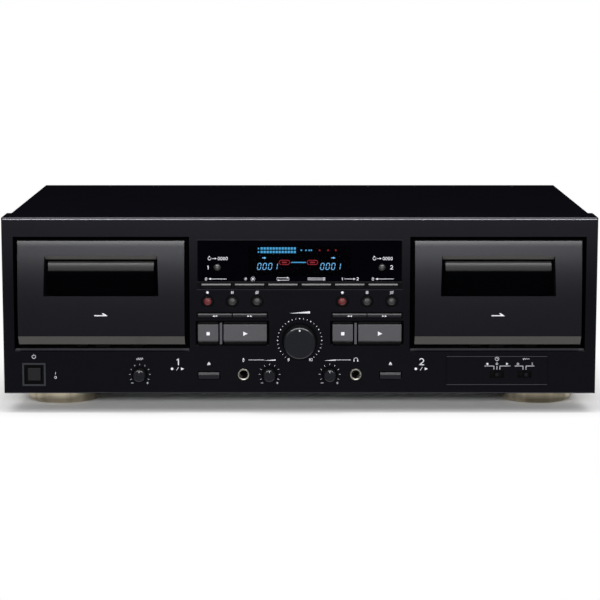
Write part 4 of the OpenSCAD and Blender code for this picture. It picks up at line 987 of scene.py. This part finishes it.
# Keys
# Moulded caps, chamfered above and below. The wide stop and play keys are a lighter grey, the round
# buttons are turned caps in dished holes, and the record buttons have a red lens.
def edged(name, face, roughness, gloss, polish):
    """Moulded plastic of a cap. The chamfers above and below its face have a clear coat, and the part
    behind the panel is painted black as painted shade of the gap round the cap."""
    finish = Finish(name)
    fine = finish.grain(0.2 * mm)
    upward = finish.facing("Z")
    chamfers = finish.rise(upward, 0.25, 0.5) + finish.rise(upward, -0.25, -0.5)
    # Painted shade: the cap behind the face of the panel is painted black.
    painted_gap_shade = finish.rise(finish.along("Y"), (face_y + 0.4) * mm, (face_y + 1.2) * mm)
    finish.fill(finish.shader, {
        "Base Color": finish.tint(painted_gap_shade, face, tone(2, 2, 2)),
        "Roughness": roughness + (fine - 0.5) * 0.1,
        "Specular IOR Level": gloss,
        "Coat Weight": chamfers * finish.rise(finish.facing("Y"), -0.3, -0.5) * polish,
        "Coat Roughness": 0.16,
        "Normal": finish.relief(fine, 0.3, 0.005 * mm),
    })
    return finish.material


strip_plastic = edged("strip_plastic", tone(6, 6, 9), 0.3, 0.03, 0.6)
wind_plastic = edged("wind_plastic", tone(22, 22, 26), 0.3, 0.06, 0.3)
eject_plastic = edged("eject_plastic", tone(22, 22, 26), 0.3, 0.06, 0.35)
power_plastic = edged("power_plastic", tone(22, 22, 25), 0.4, 0.08, 0.3)
press_plastic = edged("press_plastic", tone(67, 66, 69), 0.36, 0.06, 0.2)
round_plastic = edged("round_plastic", tone(18, 18, 20), 0.3, 0.4, 1.0)
reset_plastic = edged("reset_plastic", tone(30, 30, 31), 0.3, 0.5, 1.0)
record_plastic = edged("record_plastic", tone(80, 16, 20), 0.25, 0.3, 0.8)
bar_keys = {node: strip_plastic for node in strip_keys}
for side in sides:
    bar_keys |= {f"{name}_button_{side}": wind_plastic for name in ("rewind", "forward")}
    bar_keys[f"eject_button_{side}"] = eject_plastic
    dress(round_plastic, f"pause_button_{side}", f"mute_button_{side}")
    dress(reset_plastic, f"reset_button_{side}")
    dress(record_plastic, f"record_button_{side}")
    for name in ("stop", "play"):
        node = f"{name}_button_{side}"
        key = place(f"{name}_key_{side}", copy_of(node), press_plastic, node, [node])
        rounded(key, 0.3 * mm, 3)
        sign = [slab(-1.2, 1.2, -1.2, 1.2)] if name == "stop" else [wedge((1.8, 0), (1, 0), 3.2, 1.6)]
        printed(f"{name}_sign_{side}", moved(sign, middle(node)), front_plane(node, middle(node)), node)
    for name, way in (("rewind", -1), ("forward", 1)):
        node = f"{name}_button_{side}"
        arrows = [wedge((way * tip, 0), (way, 0), 1.7, 0.6) for tip in (0.0, 1.9)]
        spot = middle(node) + (0, -0.35)
        printed(f"{name}_sign_{side}", moved(arrows, spot), front_plane(node, spot), node)
for node, plastic in bar_keys.items():
    key = place(node.replace("button", "key"), copy_of(node), plastic, node, [node])
    rounded(key, 0.18 * mm)
node = "power_button"
rounded(place("power_key", copy_of(node), power_plastic, node, [node]), 0.25 * mm, 3)


# Knobs and slide switches
# Turned caps pushed on the shafts of their potentiometers, with a white mark, and two ribbed sliders.
knob_plastic = edged("knob_plastic", tone(19, 20, 24), 0.34, 0.05, 0.7)
for node in ("level_knob", "pitch_knob", "mic_knob", "phones_knob"):
    cap = place(node.replace("knob", "cap"), copy_of(node), knob_plastic, node, [node])
    rounded(cap, 0.2 * mm)
    knob = middle(node)
    low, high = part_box(node)
    radius = (high.x - low.x) / mm / 2
    cap_face = low.y / mm - face_y
    if node == "level_knob":
        mark = disc((0, radius - 2.1), 0.66)
        dish = 0.29
    else:
        mark = slab(-0.2, 0.2, radius - 1.9, radius - 0.6)
        dish = 0.48
    printed(node.replace("knob", "mark"), moved([mark], knob), level_plane(cap_face + dish), node)
dress(knob_plastic, "timer_slider", "noise_slider")


# Cassette doors
# A bowed moulding in a dark metallic lacquer with a smoked window. The holder for the cassette is
# moulded behind it, and pins at its lower corners turn in the transport plate.
door_lacquer = Finish("door_lacquer")
door_fine = door_lacquer.grain(0.2 * mm)
door_broad = door_lacquer.grain(26 * mm, detail=3.0)
# Painted reflection: faces that look downwards are painted a warm grey, standing for the floor seen in
# them.
down_faces_painted_reflection = door_lacquer.rise(door_lacquer.facing("Z"), -0.2, -0.4)
door_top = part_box("cassette_door_1")[1].z
door_black = door_lacquer.tint(door_broad, *spread(tone(11, 11, 16), 0.06))
door_crest = door_lacquer.rise(door_lacquer.along("Z"), door_top - 4.8 * mm, door_top + 0.6 * mm)
door_lacquer.fill(door_lacquer.shader, {
    "Base Color": door_lacquer.tint(down_faces_painted_reflection, door_black, tone(66, 65, 63)),
    "Roughness": 0.255 + (door_fine - 0.5) * 0.06,
    "Specular IOR Level": 0.074,
    "Specular Tint": (0.94, 0.95, 1.0, 1.0),
    "Coat Weight": door_crest * 0.6,
    "Coat Roughness": 0.4,
    "Normal": door_lacquer.relief(door_fine, 0.2, 0.003 * mm),
})
lens_low, lens_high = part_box("door_window_1")
flange = 2.6
lens_gap = 1.5
rim_depth = 4.0
lens_r = 10.0
lens_face = lens_low.y
lens_height = lens_high.z - (flange + 1.2) * mm
lens = Finish("lens_plastic")
lens_gloss = lens.rise(lens.along("Z"), lens_height - 9.0 * mm, lens_height + 0.3 * mm)
rim_y = lens_face + rim_depth * mm
lens_gloss = lens_gloss * lens.rise(lens.along("Y"), rim_y, rim_y - 0.04 * mm)
lens_drift = lens.grain(20 * mm)
lens.fill(lens.shader, {
    "Base Color": (*tone(1, 1, 2), 1.0),
    "Roughness": 0.16 + lens_drift * 0.06,
    "Specular IOR Level": 0.01,
    "Coat Weight": lens_gloss * lens_gloss,
    "Coat Roughness": 0.4,
    "Coat IOR": 2.0,
    "Alpha": 0.86 + lens_gloss * 0.12,
})


def lens_of(node, name):
    """The lens of a door: a pane whose front rises straight and rolls back in an arc of the lens radius,
    depth = r - r * cos(a) and height = r * sin(a), in front of a flat flange."""
    low, high = [np.array(corner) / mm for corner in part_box(node)]
    front, back = low[1], high[1]
    deep = rim_depth - 0.03
    turn = np.linspace(0, math.acos(1 - deep / lens_r), 24)
    top = lens_height / mm
    rolled = lens_r * (np.sin(turn) - np.sin(turn[-1]))
    roll = np.stack([front + lens_r * (1 - np.cos(turn)), top + rolled], -1)
    foot = low[2] + flange + 0.4
    pane = np.concatenate([[(front, foot)], roll, [(front + deep, foot)]])
    rim = slab(front + rim_depth, back, low[2], high[2])
    inset = flange + lens_gap
    return mesh_of(name, [bar(pane, low[0] + inset, high[0] - inset), bar(rim, low[0], high[0])], 30)


arrow = np.array([(-4.9, -0.6), (4.9, -0.6), (1.9, 1.5), (0.5, 1.5), (2.0, 0.1), (-4.9, 0.1)])
arrow_rise = 22.3
for side in sides:
    node = f"cassette_door_{side}"
    door = place(f"door_{side}", copy_of(node), door_lacquer.material, node, [node])
    rounded(door, 0.3 * mm, 3)
    lens_mesh = lens_of(f"door_window_{side}", f"lens_{side}")
    pane = place(f"lens_{side}", lens_mesh, lens.material, node, [f"door_window_{side}"])
    rounded(pane, 0.3 * mm, 3, 40)
    spot = (middle(node)[0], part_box(node)[0].z / mm + arrow_rise)
    printed(f"door_arrow_{side}", moved([arrow], spot), front_plane(node, spot), node)


# Top cover
# One folded steel sheet in black structured paint, held by screws at the sides and under its rear lip.
cover_paint = Finish("cover_paint")
cover_fine = cover_paint.grain(0.7 * mm)
cover_broad = cover_paint.grain(26 * mm, detail=3.0)
# Painted light: the sides are painted lighter than the top. They also carry a real clear coat.
side_coat_and_painted_light = cover_paint.rise(cover_paint.facing("Z"), 0.7, 0.3)
cover_top = cover_paint.tint(cover_broad, *spread(tone(11, 11, 16), 0.1))
cover_paint.fill(cover_paint.shader, {
    "Base Color": cover_paint.tint(side_coat_and_painted_light, cover_top, tone(18, 18, 22)),
    "Roughness": 0.85 + (cover_fine - 0.5) * 0.1,
    "Specular IOR Level": 0.0,
    "Coat Weight": side_coat_and_painted_light * 0.35,
    "Coat Roughness": 0.42,
    "Normal": cover_paint.relief(cover_fine, 0.35, 0.03 * mm),
})
screw_steel = moulded("screw_steel", tone(40, 40, 43), 0.35, 0.5, 0.3 * mm, 0.006 * mm)
dress(cover_paint.material, "top_cover")
dress(screw_steel, "screws")
# Painted shade: flat black crosses on the screw heads stand for their recesses.
painted_screw_recess_shade = moulded("painted_screw_recess_shade", tone(5, 5, 5), 0.7, 0.05, 0.3 * mm, 0.002 * mm)
screws_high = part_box("screws")[1]


def cross_recess(arm, half):
    """Painted shade of the recess of a screw head: a bar across, and two shorter ones below and above it.
    """
    return [slab(-arm, arm, -half, half), slab(-half, half, -arm, -half), slab(-half, half, half, arm)]


cross = cross_recess(1.35, 0.26)
low_screw_z = 23.0
high_screw_z = 137.7
rear_spots = [(x, low_screw_z) for x in (-180, -60, 60, 180)] + [(x, high_screw_z) for x in (-150, 0, 150)]
side_spots = [(y, low_screw_z) for y in (-39, 93)]
for name, spots, reach, facing in (
    ("rear_recess_shades", rear_spots, screws_high.y, 180),
    ("right_recess_shades", side_spots, screws_high.x, 90),
    ("left_recess_shades", [(-y, z) for y, z in side_spots], screws_high.x, -90),
):
    crosses = [outline for spot in spots for outline in moved(cross, spot)]
    printed(name, crosses, (-reach / mm, 0.0, 0.0), "cabinet", painted_screw_recess_shade, facing)


# Studio
# A pale floor that fades into a white backdrop, a long soft light above the front, another overhead.
def in_view(finish):
    """1 on rays from the camera, from gloss and through glass, and 0 on the rays that carry light."""
    rays = ("Is Camera Ray", "Is Glossy Ray", "Is Transmission Ray")
    direct, in_gloss, through = [finish.node("LightPath", {}, {}, ray) for ray in rays]
    return direct + in_gloss + through


white = (1.0, 1.0, 1.0, 1.0)
footprint = (0.21, 0.105, 0.0)
fade_reach = 0.05
floor_finish = Finish("studio_floor")
floor_side = floor_finish.node("VectorMath", {"operation": "ABSOLUTE"}, {0: floor_finish.place()})
floor_clear = floor_finish.node("VectorMath", {"operation": "SUBTRACT"}, {0: floor_side, 1: footprint})
floor_out = floor_finish.node("VectorMath", {"operation": "MAXIMUM"}, {0: floor_clear, 1: (0.0, 0.0, 0.0)})
floor_reach = floor_finish.node("VectorMath", {"operation": "LENGTH"}, {0: floor_out}, "Value")
backdrop = floor_finish.node("Emission", {}, {"Color": white, "Strength": 1.0})
floor_finish.fill(floor_finish.shader, {
    "Base Color": (0.9, 0.9, 0.9, 1.0),
    "Roughness": 1.0,
    "Specular IOR Level": 0.0,
})
fade = floor_finish.rise(floor_reach, 0.0, fade_reach) * in_view(floor_finish)
floor_mix = floor_finish.node("MixShader", {}, {
    0: fade,
    1: Shade(floor_finish, floor_finish.shader.outputs[0]),
    2: backdrop,
})
floor_finish.tree.links.new(floor_mix.socket, floor_finish.tree.nodes["Material Output"].inputs["Surface"])
floor_half = 6.0
floor_corners = slab(-floor_half, floor_half, -floor_half, floor_half)
floor_mesh = bpy.data.meshes.new("studio_floor")
floor_mesh.from_pydata([(x, y, 0.0) for x, y in floor_corners], [], [(0, 1, 2, 3)])
floor_mesh.materials.append(floor_finish.material)
floor = bpy.data.objects.new("studio_floor", floor_mesh)
bpy.context.scene.collection.objects.link(floor)


def softbox(name, centre, aim, width, height, radiance):
    """A rectangular soft light at a point, turned towards another, with the power for its radiance."""
    lamp = bpy.data.lights.new(name, "AREA")
    lamp.shape = "RECTANGLE"
    lamp.size = width
    lamp.size_y = height
    lamp.energy = radiance * math.pi * width * height
    light = bpy.data.objects.new(name, lamp)
    light.location = centre
    away = np.array(centre) - np.array(aim)
    light.rotation_euler = (math.acos(away[2] / np.linalg.norm(away)), 0.0, math.atan2(away[0], -away[1]))
    bpy.context.scene.collection.objects.link(light)


softbox("front_light", (0.0, -1.5, 0.41), (0.0, -0.13, 0.12), width=1.0, height=0.13, radiance=40.0)
softbox("top_light", (0.0, -0.4, 1.25), (0.0, -0.4, 0.0), width=2.0, height=0.14, radiance=12.0)


class Backdrop(Finish):
    """The nodes of the world around its Background shader."""

    def __init__(self, name):
        self.world = bpy.data.worlds.new(name)
        self.world.use_nodes = True
        self.tree = self.world.node_tree
        self.shader = self.tree.nodes["Background"]


sky = Backdrop("studio")
sky_light = sky.node("MapRange", {}, {"Value": in_view(sky), "To Min": 0.5, "To Max": 1.0})
sky.fill(sky.shader, {"Color": white, "Strength": sky_light})
bpy.context.scene.world = sky.world

lens_mm = 129.12
eye = (0.00025, -1.6867, 0.3155)
tilt = 8.433
camera_data = bpy.data.cameras.new("camera")
camera_data.lens = lens_mm
camera_data.sensor_width = 36.0
camera = bpy.data.objects.new("camera", camera_data)
camera.location = eye
camera.rotation_euler = (math.radians(90 - tilt), 0.0, 0.0)
bpy.context.scene.collection.objects.link(camera)
bpy.context.scene.camera = camera
bpy.context.scene.view_settings.view_transform = "Standard"
